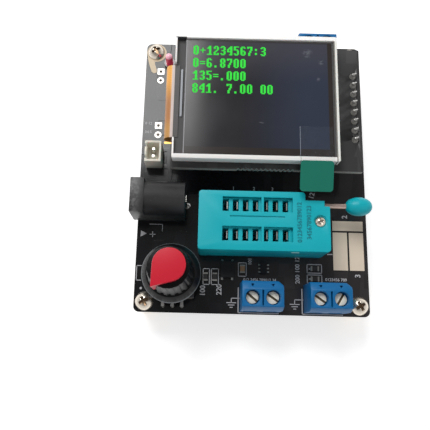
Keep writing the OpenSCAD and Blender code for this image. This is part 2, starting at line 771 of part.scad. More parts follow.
module zif_base() color(teal_colour) on_board() difference() {
    union() {
        translate([0, 0, zif_lift]) linear_extrude(zif_base_h - zif_lift) zif_outline();
        post(zif_screw_place, zif_boss_d, zif_base_h - cut, zif_h - zif_top_t);
        // Two cradles carry the lever's cross shaft
        for (y = [crank_y0 - 1.6, crank_y1 + 4])
            translate([notch_x - 0.2, y, zif_base_h - cut])
                cube([zif_end - notch_x, 1.2, lever_z - zif_base_h + cut]);
    }
    for (p = zif_places) block(p + [contact_x, 0], 1.3, contact_w + 0.6, contact_z - 0.1, zif_base_h + cut);
    for (p = zif_places) block(p, contact_t + 0.1, contact_leg_w + 0.1, zif_lift - cut, contact_z);
    post(zif_screw_place, zif_screw_d + 2 * fixed_gap, 2, zif_h);
    lever_bore(lever_rod_d + 2 * running_gap, zif_y, lever_y - 1);
}

// The windows sit a little to the right of the contacts, and a bar parts each in two
window_shift = 0.4;
window_bar = 0.6;
bar_after = 4;
window_x0 = zif_places[0][0] - pitch / 2 + window_shift;
window_x1 = zif_places[zif_columns - 1][0] + pitch / 2 + window_shift;
bar_x = zif_places[bar_after][0] - pitch / 2 + window_shift;
groove_w = 0.4;
groove_inset = 2;

module zif_cover() color(teal_colour) on_board() difference() {
    translate([0, 0, zif_base_h]) linear_extrude(zif_h - zif_base_h) zif_outline();
    translate([0, 0, zif_base_h - cut]) linear_extrude(zif_h - zif_top_t - zif_base_h + cut) zif_room();
    for (y = [zif_front_row_y, zif_front_row_y + zif_row_pitch],
        x = [[window_x0, bar_x - window_bar / 2], [bar_x + window_bar / 2, window_x1]])
        translate([x[0], y - window_l / 2, zif_h - zif_top_t - cut])
            cube([x[1] - x[0], window_l, zif_top_t + 2 * cut]);
    // Shallow groove behind the front windows
    translate([window_x0 + groove_inset, zif_front_row_y + zif_row_pitch - window_l / 2 - 1.5, zif_h - 0.3])
        cube([window_x1 - window_x0 - 2 * groove_inset, groove_w, cut]);
    post(zif_screw_place, zif_screw_d + 0.4, zif_base_h, zif_h + cut);
    post(zif_screw_place, zif_screw_head_d + 0.5, zif_h - 0.3, zif_h + cut);
    // The lever swings up through the corner, and its shaft shows at the end
    translate([notch_x, notch_y, lever_z - lever_rod_d / 2 - slide_gap])
        cube([zif_end - notch_x + cut, zif_w, zif_h]);
    shaft_slot_z = zif_base_h - cut;
    translate([notch_x - 0.3, zif_y + zif_wall, shaft_slot_z])
        cube([zif_wall + 2 * cut, notch_y - zif_y - zif_wall + cut, lever_z + lever_rod_d - shaft_slot_z]);
}

module zif_slider() color("#128492") on_board() difference() {
    union() {
        translate([slider_x0, zif_y + zif_wall + slide_gap, slider_z0])
            cube([slider_x1 - slider_x0, zif_w - 2 * zif_wall - 2 * slide_gap, slider_z1 - slider_z0]);
        // Tongue that rests against the lever's crank
        translate([slider_x1 - cut, crank_y0 + slide_gap, lever_z - 1.3])
            cube([lever_x - crank_offset - lever_rod_d / 2 - slide_gap - slider_x1 + cut - 0.05,
                crank_y1 - crank_y0 - 2 * slide_gap, 2.4]);
    }
    for (p = zif_places) block(p, slot_w, slot_l, slider_z0 - cut, slider_z1 + cut);
}

module zif_contacts() color(steel_colour) on_board()
    for (p = zif_places) {
        block(p + [contact_x, 0], contact_t, contact_w, contact_z, slider_z1 - 0.6);
        block(p, contact_t, contact_leg_w, -board_t, contact_z + contact_t);
        translate([p[0] - contact_t / 2, p[1] - contact_leg_w / 2, contact_z])
            cube([contact_x + contact_t, contact_leg_w, contact_t]);
    }

module zif_screw() color(steel_colour) on_board() {
    head_z = zif_h - 0.3;
    translate([zif_screw_place[0], zif_screw_place[1], head_z]) difference() {
        pan_head(zif_screw_head_d, 0.9);
        translate([0, 0, 0.9]) rotate(20) cross_recess(1.6, 0.5, 0.6);
    }
    post(zif_screw_place, zif_screw_d, 2.5, head_z + 0.3);
}

knob_rod_l = 3;

// The lever lies along +X when the contacts are closed
module zif_lever_rod() color(steel_colour) on_board() {
    reach = lever_reach - lever_knob_l / 2 + knob_rod_l;
    translate([lever_x, lever_y, lever_z]) rotate([0, 90, 0]) cylinder(h = reach, d = lever_rod_d);
    translate([lever_x, lever_y, lever_z]) sphere(d = lever_rod_d, $fn = 32);
    lever_bore(lever_rod_d, crank_y1, lever_y);
    lever_bore(lever_rod_d, shaft_end_y, crank_y0);
    translate([lever_x - crank_offset, crank_y1, lever_z]) rotate([90, 0, 0])
        cylinder(h = crank_y1 - crank_y0, d = lever_rod_d);
}

// Outline of an oval, blunt towards the rod and rounder at its far end
oval_steps = 14;
oval_points = [for (i = [0:oval_steps]) let (a = 180 * i / oval_steps)
    [lever_knob_d / 2 * pow(sin(a), 0.85), -lever_knob_l / 2 * cos(a)]];

module zif_lever_knob() color(teal_colour) on_board()
    translate([lever_x + lever_reach, lever_y, lever_z]) rotate([0, 90, 0]) difference() {
        rotate_extrude() polygon(concat([[0, -lever_knob_l / 2]], oval_points, [[0, lever_knob_l / 2]]));
        translate([0, 0, -lever_knob_l / 2 - cut])
            cylinder(h = knob_rod_l + cut + 0.1, d = lever_rod_d + 2 * fixed_gap);
    }

// ---- Encoder and knob ------------------------------------------------------

encoder_l = 11.4;
encoder_base_z = 0.4;
encoder_base_h = 3.4;
encoder_leg_w = 1.8;
case_wall = 0.5;
well_d = 6.2;
well_floor = 1.1;
plunger_h = 1;
plunger_z = encoder_base_h - plunger_h + 0.1;
shaft_z = plunger_z + plunger_h + 0.05;
dome_h = plunger_z - well_floor - 0.1;

module at_encoder() on_board() translate([encoder_x, encoder_y, 0]) children();

module encoder_base() color("saddlebrown") at_encoder() difference() {
    block([0, 0], encoder_w - 2 * case_wall, encoder_l, encoder_base_z, encoder_base_h);
    post([0, 0], well_d, well_floor, encoder_base_h + cut);
}

module encoder_case() color(steel_colour) at_encoder() difference() {
    union() {
        block([0, 0], encoder_w, encoder_l, encoder_base_h, encoder_h);
        post([0, 0], bushing_d, encoder_h - cut, encoder_h + bushing_h);
        for (s = [-1, 1]) translate([s * (encoder_w / 2 + encoder_leg_t / 2), 0, 0])
            block([0, 0], encoder_leg_t, encoder_leg_w, -board_t, encoder_h);
    }
    block([0, 0], encoder_w - 2 * case_wall - 1, encoder_l - 2 * case_wall,
        encoder_base_h - cut, encoder_h - 1);
    post([0, 0], shaft_d + 2 * running_gap, encoder_base_h, encoder_h + bushing_h + cut);
}

module encoder_pins() color(steel_colour) on_board() {
    front = encoder_y - encoder_l / 2;
    back = encoder_y + encoder_l / 2;
    for (p = encoder_front_pins) {
        block(p, lead_d, 0.5, -board_t, 1.2);
        translate([p[0] - lead_d / 2, p[1], 0.8]) cube([lead_d, front - p[1], 0.4]);
    }
    for (p = encoder_back_pins) {
        block(p, lead_d, 0.5, -board_t, 1.2);
        translate([p[0] - lead_d / 2, back, 0.8]) cube([lead_d, p[1] - back, 0.4]);
    }
}

// Thin snap dome under the plunger
module switch_dome() color(steel_colour) at_encoder() translate([0, 0, well_floor]) difference() {
    cylinder(h = dome_h, d1 = well_d - 0.6, d2 = 2);
    translate([0, 0, -0.15]) cylinder(h = dome_h, d1 = well_d - 0.8, d2 = 1.8);
}

module encoder_plunger() color("gray") at_encoder()
    post([0, 0], well_d - 2 * slide_gap, plunger_z, plunger_z + plunger_h);

shaft_flat = 1.5;
shaft_flat_l = 9;
knob_gap = 2.8;
knob_z = encoder_h + knob_gap;
knob_floor = 1;
shaft_top = knob_z + knob_h - knob_floor - 0.1;

// Round shaft with a flat side over its upper part
module d_section(d) difference() {
    circle(d = d);
    translate([d / 2 - shaft_flat, -d]) square([2 * d, 2 * d]);
}

module encoder_shaft() color(steel_colour) at_encoder() {
    translate([0, 0, shaft_z]) cylinder(h = shaft_top - shaft_flat_l - shaft_z, d = shaft_d);
    translate([0, 0, shaft_top - shaft_flat_l]) linear_extrude(shaft_flat_l) d_section(shaft_d);
}

skirt_edge_h = 0.9;
skirt_h = 2.9;
knob_foot_d = 11.6;
flute_d = 1.3;
skirt_hollow = bushing_h - knob_gap + push_travel + slide_gap + 0.2;

// The tapering body over the skirt, bigger all round by a gap
module knob_taper(gap) translate([0, 0, skirt_h])
    cylinder(h = knob_h - skirt_h, d1 = knob_foot_d + 2 * gap, d2 = knob_top_d + 2 * gap);

module knob_body() color(black_colour) at_encoder() translate([0, 0, knob_z]) difference() {
    union() {
        cylinder(h = skirt_edge_h, d = knob_skirt_d);
        translate([0, 0, skirt_edge_h])
            cylinder(h = skirt_h - skirt_edge_h, d1 = knob_skirt_d, d2 = knob_foot_d + 0.6);
        knob_taper(0);
    }
    for (i = [0:flute_count - 1]) rotate(360 * i / flute_count)
        translate([(knob_foot_d + knob_top_d) / 4 + 0.8, 0, skirt_h + 0.4])
            rotate([0, -atan((knob_foot_d - knob_top_d) / 2 / knob_h), 0])
                translate([0, 0, -0.1]) cylinder(h = knob_h + cut, d = flute_d, $fn = 24);
    translate([0, 0, -cut]) cylinder(h = skirt_hollow + cut, d = bushing_d + 2 * slide_gap + 0.6);
    translate([0, 0, -cut]) linear_extrude(knob_h - knob_floor + cut) d_section(shaft_d + 2 * fixed_gap);
}

pointer_t = 1.9;
fin_h = 6.5;
fin_w = 1.7;

// A disc drawn out to a tip along +X, set back from the axis
module teardrop(r, reach, back) translate([-back, 0]) {
    circle(r = r, $fn = 96);
    a = acos(r / (reach + back));
    polygon([[0, 0], r * [cos(a), -sin(a)], [reach + back, 0], r * [cos(a), sin(a)]]);
}

module knob_pointer() color("crimson") at_encoder() translate([0, 0, knob_z]) rotate(pointer_angle) {
    translate([0, 0, knob_h]) linear_extrude(pointer_t)
        teardrop(pointer_r, pointer_reach, pointer_back);
    // Fin that runs down the side of the knob under the tip
    difference() {
        translate([0, 0, knob_h - fin_h]) linear_extrude(fin_h) intersection() {
            teardrop(pointer_r, pointer_reach, pointer_back);
            translate([0, -fin_w / 2]) square([pointer_reach, fin_w]);
        }
        knob_taper(fixed_gap);
    }
}

// ---- Screw terminals -------------------------------------------------------

well_top_d = 3.6;
ledge_z = 6.6;
ledge_t = 0.5;
terminal_thread_d = 2.4;
cavity_w = 4.4;
cavity_z = 0.7;
cavity_y0 = 1.1;
cavity_y1 = 6.7;
cage_w = 4;
cage_l = 4.4;
cage_h = 3.8;
cage_wall = 0.6;
cage_z = cavity_z + 0.2;
tongue_z = cage_z + cage_wall + cage_lift + 0.15;
tongue_t = 0.5;
terminal_leg_w = 1;
terminal_leg_t = 0.45;
entry_w = 3.6;
entry_z0 = 1.2;
entry_z1 = 4.9;
terminal_front_y = 0.4;
corner_cut = 0.8;
mark_r = 0.5;
mark_depth = 1.6;
pole_slit_w = 0.4;
pole_slit_depth = 1.5;

module at_block(i) on_board()
    translate([terminal_blocks[i][0][0], terminal_blocks[i][0][1], 0])
        rotate(terminal_blocks[i][1]) children();

// Side outline: a sloping wire side, a flat top and a lower back edge
module terminal_profile()
    polygon([[terminal_front_y, 0], [terminal_d, 0], [terminal_d, terminal_h - 1.2],
        [terminal_d - 2, terminal_h], [1.3, terminal_h], [terminal_front_y, terminal_h - 2.4]]);

module terminal_block(i) color(blue_colour) at_block(i) difference() {
    rotate([90, 0, 90]) linear_extrude(terminal_w) terminal_profile();
    for (x = pole_x) {
        post([x, pole_y], well_top_d, ledge_z + ledge_t, terminal_h + cut);
        post([x, pole_y], terminal_thread_d + 0.5, ledge_z - cut, terminal_h);
        translate([x - cavity_w / 2, cavity_y0, cavity_z])
            cube([cavity_w, cavity_y1 - cavity_y0, ledge_z - cavity_z]);
        translate([x - entry_w / 2, -cut, entry_z0])
            cube([entry_w, cavity_y0 + 2 * cut, entry_z1 - entry_z0]);
        block([x, terminal_leg_y], terminal_leg_w + 0.1, terminal_leg_t + 0.1, -cut, cavity_z + cut);
        // Small three-cornered mark in the back edge
        translate([x, terminal_d - 1, terminal_h - mark_depth]) rotate(-90)
            cylinder(h = mark_depth + cut, r = mark_r, $fn = 3);
    }
    translate([terminal_w / 2 - pole_slit_w / 2, 1.6, terminal_h - pole_slit_depth])
        cube([pole_slit_w, 3.8, pole_slit_depth + cut]);
    translate([terminal_w, terminal_d, -cut]) rotate(45)
        translate([-corner_cut, -corner_cut * 2, 0])
            cube([2 * corner_cut, 4 * corner_cut, terminal_h + 2 * cut]);
}

module terminal_pins() color(steel_colour)
    for (i = [0:2]) at_block(i) for (x = pole_x) {
        translate([x - 1.2, cavity_y0 + 0.4, tongue_z])
            cube([2.4, terminal_leg_y - cavity_y0 - 0.4, tongue_t]);
        block([x, terminal_leg_y], terminal_leg_w, terminal_leg_t, -board_t, tongue_z + tongue_t);
    }

screw_slot_w = 0.55;
screw_slot_depth = 0.6;
head_h = 1.1;
thread_end_z = tongue_z + tongue_t + 0.25;

// The screws turn in place; i counts the poles of all the blocks
module terminal_screw(i, slot_angle) color(steel_colour) at_block(floor(i / 2))
    translate([pole_x[i % 2], pole_y, 0]) {
        head_z = ledge_z + ledge_t + running_gap;
        difference() {
            translate([0, 0, head_z]) cylinder(h = head_h, d = terminal_head_d);
            translate([0, 0, head_z + head_h]) rotate(slot_angle)
                translate([-terminal_head_d, -screw_slot_w / 2, -screw_slot_depth])
                    cube([2 * terminal_head_d, screw_slot_w, screw_slot_depth + cut]);
        }
        translate([0, 0, thread_end_z]) cylinder(h = head_z - thread_end_z + 0.1, d = terminal_thread_d);
    }

module clamp_cage(i) color(brass_colour) at_block(floor(i / 2))
    translate([pole_x[i % 2], pole_y, cage_z]) difference() {
        translate([-cage_w / 2, -cage_l / 2, 0]) cube([cage_w, cage_l, cage_h]);
        translate([-cage_w / 2 + cage_wall, -cage_l / 2 - cut, cage_wall])
            cube([cage_w - 2 * cage_wall, cage_l + 2 * cut, cage_h - 2 * cage_wall]);
        translate([0, 0, cage_h - cage_wall - cut])
            cylinder(h = cage_wall + 2 * cut, d = terminal_thread_d + 0.4);
    }

// ---- Nodes -----------------------------------------------------------------

main_board();
board_standoffs();
board_screws();
tinned_pads();
solder_joints();
microcontroller();
crystal();
regulator();
small_chips();
chip_resistors();
chip_capacitors();
power_led();
battery_socket();
battery_socket_pins();
dc_jack_body();
dc_jack_contacts();
display_socket();
display_header();
display_pins();
display_board();
display_tape();
backlight_frame();
lcd_glass();
polariser();
driver_chip();
flex_cable();
screen_film();
pull_tab();
zif_base();
zif_cover();
zif_slider();
zif_contacts();
zif_screw();
zif_lever_rod();
zif_lever_knob();
encoder_base();
encoder_case();
encoder_pins();
switch_dome();
encoder_plunger();
encoder_shaft();
knob_body();
knob_pointer();
terminal_block(0);  // terminal_block_left
terminal_block(1);  // terminal_block_right
terminal_block(2);  // terminal_block_rear
terminal_pins();
terminal_screw(0, -40);  // terminal_screw_1
terminal_screw(1, -35);  // terminal_screw_2
terminal_screw(2, -35);  // terminal_screw_3
terminal_screw(3, 60);  // terminal_screw_4
terminal_screw(4, 15);  // terminal_screw_5
terminal_screw(5, -25);  // terminal_screw_6
clamp_cage(0);  // clamp_cage_1
clamp_cage(1);  // clamp_cage_2
clamp_cage(2);  // clamp_cage_3
clamp_cage(3);  // clamp_cage_4
clamp_cage(4);  // clamp_cage_5
clamp_cage(5);  // clamp_cage_6
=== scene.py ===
"""Looks of an open-board component tester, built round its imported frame.

Places named as board places are millimetres from the main board's front left
corner and its top face; everything that reaches Blender is in metres.
"""

import logging  # noqa: E402
import math  # noqa: E402
from collections.abc import Callable, Iterator, Sequence  # noqa: E402
from contextlib import contextmanager  # noqa: E402
from dataclasses import dataclass, field  # noqa: E402
from enum import Enum  # noqa: E402
from functools import reduce  # noqa: E402
from typing import Any  # noqa: E402

import bmesh  # noqa: E402
import bpy  # noqa: E402
from mathutils import Matrix, Quaternion, Vector  # noqa: E402

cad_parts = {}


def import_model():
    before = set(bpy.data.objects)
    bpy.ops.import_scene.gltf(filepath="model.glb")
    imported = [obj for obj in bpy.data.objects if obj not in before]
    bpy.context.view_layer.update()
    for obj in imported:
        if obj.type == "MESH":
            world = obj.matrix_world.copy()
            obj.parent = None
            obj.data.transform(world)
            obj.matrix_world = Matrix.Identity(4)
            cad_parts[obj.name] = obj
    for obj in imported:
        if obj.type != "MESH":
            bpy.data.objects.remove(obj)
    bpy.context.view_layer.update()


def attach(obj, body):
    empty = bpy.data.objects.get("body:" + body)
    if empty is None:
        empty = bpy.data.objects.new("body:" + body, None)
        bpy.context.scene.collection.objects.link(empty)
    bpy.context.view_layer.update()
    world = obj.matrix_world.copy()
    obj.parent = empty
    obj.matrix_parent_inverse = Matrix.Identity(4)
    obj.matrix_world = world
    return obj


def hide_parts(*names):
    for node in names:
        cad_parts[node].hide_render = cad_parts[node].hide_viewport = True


LOG = logging.getLogger("tester")

MM = 0.001
BOARD_W = 62.4
BOARD_L = 78.0
BOARD_TOP = 11.6
PITCH = 2.54
PRINT_LIFT = 0.002

Colour = tuple[float, float, float]
Place = tuple[float, float, float]
Flat = tuple[float, float]

# A change of colour: the new one, then the spans of board places that bring it
# in together, each an axis, where it starts and ends, and its share at both.
Step = tuple[Any, ...]
X, Y, Z = range(3)


def paint(red: float, green: float, blue: float) -> Colour:
    """Turns a screen colour into the linear colour that shaders take.

    Args:
        red: Red part, 0 to 255.
        green: Green part, 0 to 255.
        blue: Blue part, 0 to 255.

    Returns:
        The linear colour.
    """

    def linear(value: float) -> float:
        """Undoes the screen's gamma for one part."""
        v = value / 255
        return v / 12.92 if v <= 0.04045 else ((v + 0.055) / 1.055) ** 2.4

    return linear(red), linear(green), linear(blue)


def on_board(x: float, y: float, z: float = 0.0) -> Vector:
    """Turns a board place in millimetres into a point in metres.

    Args:
        x: Distance from the board's left edge.
        y: Distance from the board's front edge.
        z: Height above the board's top.

    Returns:
        The point in the frame that the whole part shares.
    """
    return Vector(((x - BOARD_W / 2) * MM, (y - BOARD_L / 2) * MM, (z + BOARD_TOP) * MM))


def placed(name: str, data: Any) -> bpy.types.Object:
    """Puts a new object into the scene.

    Args:
        name: The object's name.
        data: Its mesh, camera or lamp.

    Returns:
        The object, at the origin.
    """
    made = bpy.data.objects.new(name, data)
    bpy.context.scene.collection.objects.link(made)
    return made


# ---- Shader building -------------------------------------------------------


class Wiring:
    """Adds nodes to one node tree and links them."""

    def __init__(self, tree: bpy.types.NodeTree) -> None:
        """Takes the tree that the nodes go into."""
        self.tree = tree

    def add(self, kind: str, inputs: dict[Any, Any] | None = None, **settings: Any) -> Any:
        """Adds a node.

        Args:
            kind: Blender's type name of the node.
            inputs: Values or sockets for its inputs, by name or number.
            **settings: The node's own options.

        Returns:
            The new node.
        """
        node = self.tree.nodes.new(kind)
        for key, value in settings.items():
            setattr(node, key, value)
        for key, value in (inputs or {}).items():
            if isinstance(value, bpy.types.NodeSocket):
                self.tree.links.new(value, node.inputs[key])
            else:
                node.inputs[key].default_value = value
        return node

    def calc(self, operation: str, a: Any, b: Any = 0.0, clamp: bool = False) -> Any:
        """Returns the result of a Math node on two values."""
        inputs = {0: a, 1: b}
        return self.add("ShaderNodeMath", inputs, operation=operation, use_clamp=clamp).outputs[0]

    def plus(self, a: Any, b: Any, clamp: bool = False) -> Any:
        """Returns the sum of two values."""
        return self.calc("ADD", a, b, clamp)

    def minus(self, a: Any, b: Any) -> Any:
        """Returns the first value less the second."""
        return self.calc("SUBTRACT", a, b)

    def times(self, a: Any, b: Any, clamp: bool = False) -> Any:
        """Returns the product of two values."""
        return self.calc("MULTIPLY", a, b, clamp)

    def span(
        self, value: Any, low: float, high: float, out_low: float = 0.0, out_high: float = 1.0
    ) -> Any:
        """Maps a value from one range to another with a smooth step, clamped.

        Args:
            value: The socket to map.
            low: Value that gives out_low.
            high: Value that gives out_high.
            out_low: Result at low.
            out_high: Result at high.

        Returns:
            The mapped socket.
        """
        inputs = {"Value": value, "From Min": low, "From Max": high}
        inputs |= {"To Min": out_low, "To Max": out_high}
        return self.add("ShaderNodeMapRange", inputs, interpolation_type="SMOOTHSTEP").outputs[0]

    def window(self, value: Any, low: float, high: float, edge: float) -> Any:
        """Returns 1 from low to high and 0 outside, with steps from -edge to +edge at both."""
        rise = self.span(value, low - edge, low + edge)
        return self.times(rise, self.span(value, high + edge, high - edge))

    def mix(self, factor: Any, a: Any, b: Any, blend: str = "MIX") -> Any:
        """Mixes two colours.

        Args:
            factor: Share of the second colour.
            a: First colour or socket.
            b: Second colour or socket.
            blend: How Blender's node combines them.

        Returns:
            The mixed colour's socket.
        """
        first, second = (c if isinstance(c, bpy.types.NodeSocket) else (*c, 1) for c in (a, b))
        inputs = {0: factor, 6: first, 7: second}
        return self.add("ShaderNodeMix", inputs, data_type="RGBA", blend_type=blend).outputs[2]

    def noise(
        self, vector: Any, scale: Any, detail: float = 2.0, stretch: Place | None = None
    ) -> Any:
        """Adds a noise texture.

        Args:
            vector: Coordinates to read.
            scale: Lumps per metre.
            detail: Octaves of detail.
            stretch: Scale along each axis, for drawn or brushed surfaces.

        Returns:
            The noise's factor socket.
        """
        if stretch:
            vector = self.add("ShaderNodeMapping", {"Vector": vector, "Scale": stretch}).outputs[0]
        inputs = {"Vector": vector, "Scale": scale, "Detail": detail}
        return self.add("ShaderNodeTexNoise", inputs).outputs[0]

    def split(self, vector: Any) -> Any:
        """Returns the X, Y and Z sockets of a vector."""
        return self.add("ShaderNodeSeparateXYZ", {0: vector}).outputs

    def normal(self) -> Any:
        """Returns the X, Y and Z of the way that the surface faces."""
        return self.split(self.add("ShaderNodeTexCoord").outputs["Normal"])

    def grey(self, value: Any) -> Any:
        """Returns a value as a grey colour."""
        return self.add("ShaderNodeCombineColor", {0: value, 1: value, 2: value}).outputs[0]

    def spread(self, place: Sequence[Any], centre: Sequence[float]) -> Any:
        """Returns the squared distance of a flat place from a centre, both in the same unit."""
        x, y = (self.minus(value, middle) for value, middle in zip(place, centre))
        return self.plus(self.times(x, x), self.times(y, y))

    def radial(self, place: Sequence[Any], centre: Sequence[float]) -> Any:
        """Returns the distance of a flat place from a centre, both in the same unit."""
        return self.calc("SQRT", self.spread(place, centre))


def fresh_nodes(owner: Any) -> bpy.types.NodeTree:
    """Gives a material or world an empty node tree.

    Args:
        owner: The material or world.

    Returns:
        Its tree.
    """
    owner.use_nodes = True
    owner.node_tree.nodes.clear()
    return owner.node_tree


class Surface(Wiring):
    """The wiring of one material, with the places that its patterns read."""

    def __init__(self, tree: bpy.types.NodeTree) -> None:
        """Takes the material's tree and reads the place in the object, in metres."""
        super().__init__(tree)
        self.place = self.add("ShaderNodeTexCoord").outputs["Object"]

    def board(self) -> tuple[Any, ...]:
        """Returns the X, Y and Z sockets of the place, in millimetres as board places are."""
        offsets = zip(self.split(self.place), (BOARD_W / 2, BOARD_L / 2, -BOARD_TOP))
        return tuple(self.plus(self.times(part, 1 / MM), offset) for part, offset in offsets)

    def steps(self, colour: Any, steps: Sequence[Step]) -> Any:
        """Changes a colour over the board's places.

        Args:
            colour: The colour or socket to start from.
            steps: The changes, in order.

        Returns:
            The colour or socket after the last one.
        """
        places = self.board() if steps else ()
        for following, *spans in steps:
            shares = [self.span(places[axis], *span) for axis, *span in spans]
            colour = self.mix(reduce(self.times, shares), colour, following)
        return colour

    def mask(self, group: bpy.types.NodeTree, amount: float) -> Any:
        """Returns the mask that a shared group gives over the surface."""
        inputs = {"Place": self.place, "Amount": amount}
        return self.add("ShaderNodeGroup", inputs, node_tree=group).outputs["Mask"]


class SharedGroups:
    """The shader node groups that several finishes use, each built once."""

    SLOW_LUMPS = 170.0
    GLOSS_SHARE = 0.35
    RUBBED = (0.515, 0.6)
    WORN_PATCHES = 1400.0
    WORN_EDGE = (0.35, 0.7)
    UPWARD = (0.5, 0.95)
    DUST_SPECKS = 3800.0
    SPECK_EDGE = (0.66, 0.78)
    DUST_FILM = 240.0
    FILM_SHARE = 0.25

    @staticmethod
    def _shared(
        name: str,
        inputs: Sequence[str],
        outputs: Sequence[str],
        fill: Callable[..., Sequence[Any]],
    ) -> bpy.types.NodeTree:
        """Finds a group by its name, or builds it.

        Args:
            name: The group's name.
            inputs: Its inputs, of which Place is a vector and the others are values.
            outputs: Its outputs, all values.
            fill: Adds the nodes, from the wiring and the inputs, and gives the outputs' sockets.

        Returns:
            The group.
        """
        found = bpy.data.node_groups.get(name)
        if found:
            return found
        group = bpy.data.node_groups.new(name, "ShaderNodeTree")
        for side, labels in (("INPUT", inputs), ("OUTPUT", outputs)):
            for label in labels:
                kind = "NodeSocketVector" if label == "Place" else "NodeSocketFloat"
                group.interface.new_socket(label, in_out=side, socket_type=kind)
        w = Wiring(group)
        start = w.add("NodeGroupInput").outputs
        results = fill(w, *(start[label] for label in inputs))
        w.add("NodeGroupOutput", dict(zip(outputs, results)))
        return group

    @classmethod
    def grain(cls) -> bpy.types.NodeTree:
        """Builds the group for slow shade changes and fine grain.

        Returns:
            The group, which gives a shade, a change of gloss and the grain's height.
        """

        def fill(w: Wiring, place: Any, scale: Any, amount: Any) -> Sequence[Any]:
            """Mixes slow lumps with fine grain.

            Args:
                w: The group's wiring.
                place: Where on the surface.
                scale: Grains per metre.
                amount: How far the shade goes from 1.

            Returns:
                The shade round 1, the change of gloss round 0 and the grain.
            """
            slow, fine = w.noise(place, cls.SLOW_LUMPS, 3.0), w.noise(place, scale, 4.0)
            both = w.minus(w.plus(w.times(slow, 0.7), w.times(fine, 0.3)), 0.5)
            gloss = w.times(w.minus(slow, 0.5), cls.GLOSS_SHARE)
            return w.plus(w.times(both, amount), 1.0), gloss, fine

        ends = ("Place", "Scale", "Amount"), ("Shade", "Gloss", "Height")
        return cls._shared("surface_grain", *ends, fill)

    @classmethod
    def wear(cls) -> bpy.types.NodeTree:
        """Builds the group for rubbed outer edges.

        Returns:
            The group, which gives their mask.
        """

        def fill(w: Wiring, place: Any, amount: Any) -> Sequence[Any]:
            """Finds the outer edges, in patches.

            Args:
                w: The group's wiring.
                place: Where on the surface.
                amount: The mask's height.

            Returns:
                The mask.
            """
            edge = w.span(w.add("ShaderNodeNewGeometry").outputs["Pointiness"], *cls.RUBBED)
            patchy = w.span(w.noise(place, cls.WORN_PATCHES, 3.0), *cls.WORN_EDGE)
            return (w.times(w.times(edge, patchy), amount, clamp=True),)

        return cls._shared("edge_wear", ("Place", "Amount"), ("Mask",), fill)

    @classmethod
    def dust(cls) -> bpy.types.NodeTree:
        """Builds the group for fine dust that lies on upward faces.

        Returns:
            The group, which gives the dust's mask.
        """

        def fill(w: Wiring, place: Any, amount: Any) -> Sequence[Any]:
            """Finds where the surface faces up, with specks over a thin film.

            Args:
                w: The group's wiring.
                place: Where on the surface.
                amount: The mask's height.

            Returns:
                The mask.
            """
            facing = w.span(w.normal()["Z"], *cls.UPWARD)
            specks = w.span(w.noise(place, cls.DUST_SPECKS, 2.0), *cls.SPECK_EDGE)
            film = w.times(w.noise(place, cls.DUST_FILM, 3.0), cls.FILM_SHARE)
            return (w.times(w.times(facing, w.plus(specks, film)), amount, clamp=True),)

        return cls._shared("settled_dust", ("Place", "Amount"), ("Mask",), fill)


@dataclass(frozen=True)
class Finish:
    """A surface: its colour, its gloss and how both change over the piece."""

    name: str
    colour: Colour
    roughness: float = 0.4
    metallic: float = 0.0
    specular: float = 0.5
    coat: float = 0.0
    coat_roughness: float = 0.08
    blotch: float = 0.2
    gloss_change: float = 0.3
    grain_scale: float = 2600.0
    grain_depth: float = 0.006
    wear: float = 0.0
    wear_colour: Colour = (0.6, 0.6, 0.6)
    dust: float = 0.12
    dust_colour: Colour = paint(176, 172, 164)
    dust_dulling: float = 0.4
    subsurface: float = 0.0
    bleed_depth: float = 0.0008
    bleed: Place = (1.0, 0.6, 0.5)
    glow: float = 0.0
    steps: tuple[Step, ...] = ()

    def base(self, w: Surface) -> Any:
        """Returns the colour before shade, wear and dust; a pattern goes in here."""
        return w.steps(self.colour, self.steps)

    def rough(self, w: Surface) -> Any:
        """Returns the roughness before its slow changes."""
        return self.roughness

    def metal(self, w: Surface) -> Any:
        """Returns the metallic value, or a socket where only part of the piece is metal."""
        return self.metallic

    def relief(self, w: Surface, grain: Any) -> Any:
        """Returns the height that the bump reads, in millimetres."""
        return w.times(grain, self.grain_depth)

    def cover(self, w: Surface) -> Any:
        """Returns how solid the surface is, 1 unless it is see-through."""
        return 1.0

    def material(self) -> bpy.types.Material:
        """Builds the Blender material, the first time that it is asked for.

        Returns:
            The material.
        """
        found = bpy.data.materials.get(self.name)
        if found:
            return found
        made = bpy.data.materials.new(self.name)
        w = Surface(fresh_nodes(made))
        inputs = {"Place": w.place, "Scale": self.grain_scale, "Amount": self.blotch}
        grain = w.add("ShaderNodeGroup", inputs, node_tree=SharedGroups.grain()).outputs
        shaded = w.mix(1.0, self.base(w), w.grey(grain["Shade"]), "MULTIPLY")
        if self.wear:
            shaded = w.mix(w.mask(SharedGroups.wear(), self.wear), shaded, self.wear_colour)
        rough = w.plus(self.rough(w), w.times(grain["Gloss"], self.gloss_change), clamp=True)
        if self.dust:
            lying = w.mask(SharedGroups.dust(), self.dust)
            shaded = w.mix(lying, shaded, self.dust_colour)
            rough = w.plus(rough, w.times(lying, self.dust_dulling), clamp=True)
        bump = {"Height": self.relief(w, grain["Height"]), "Strength": 1.0, "Distance": MM}
        sockets = {
            "Base Color": shaded,
            "Roughness": rough,
            "Metallic": self.metal(w),
            "Alpha": self.cover(w),
            "Normal": w.add("ShaderNodeBump", bump).outputs[0],
            "Specular IOR Level": self.specular,
            "Coat Weight": self.coat,
            "Coat Roughness": self.coat_roughness,
            "Subsurface Weight": self.subsurface,
        }
        if self.subsurface:
            sockets |= {"Subsurface Scale": self.bleed_depth, "Subsurface Radius": self.bleed}
        if self.glow:
            sockets |= {"Emission Color": shaded, "Emission Strength": self.glow}
        shader = w.add("ShaderNodeBsdfPrincipled", sockets)
        w.add("ShaderNodeOutputMaterial", {"Surface": shader.outputs[0]})
        return made


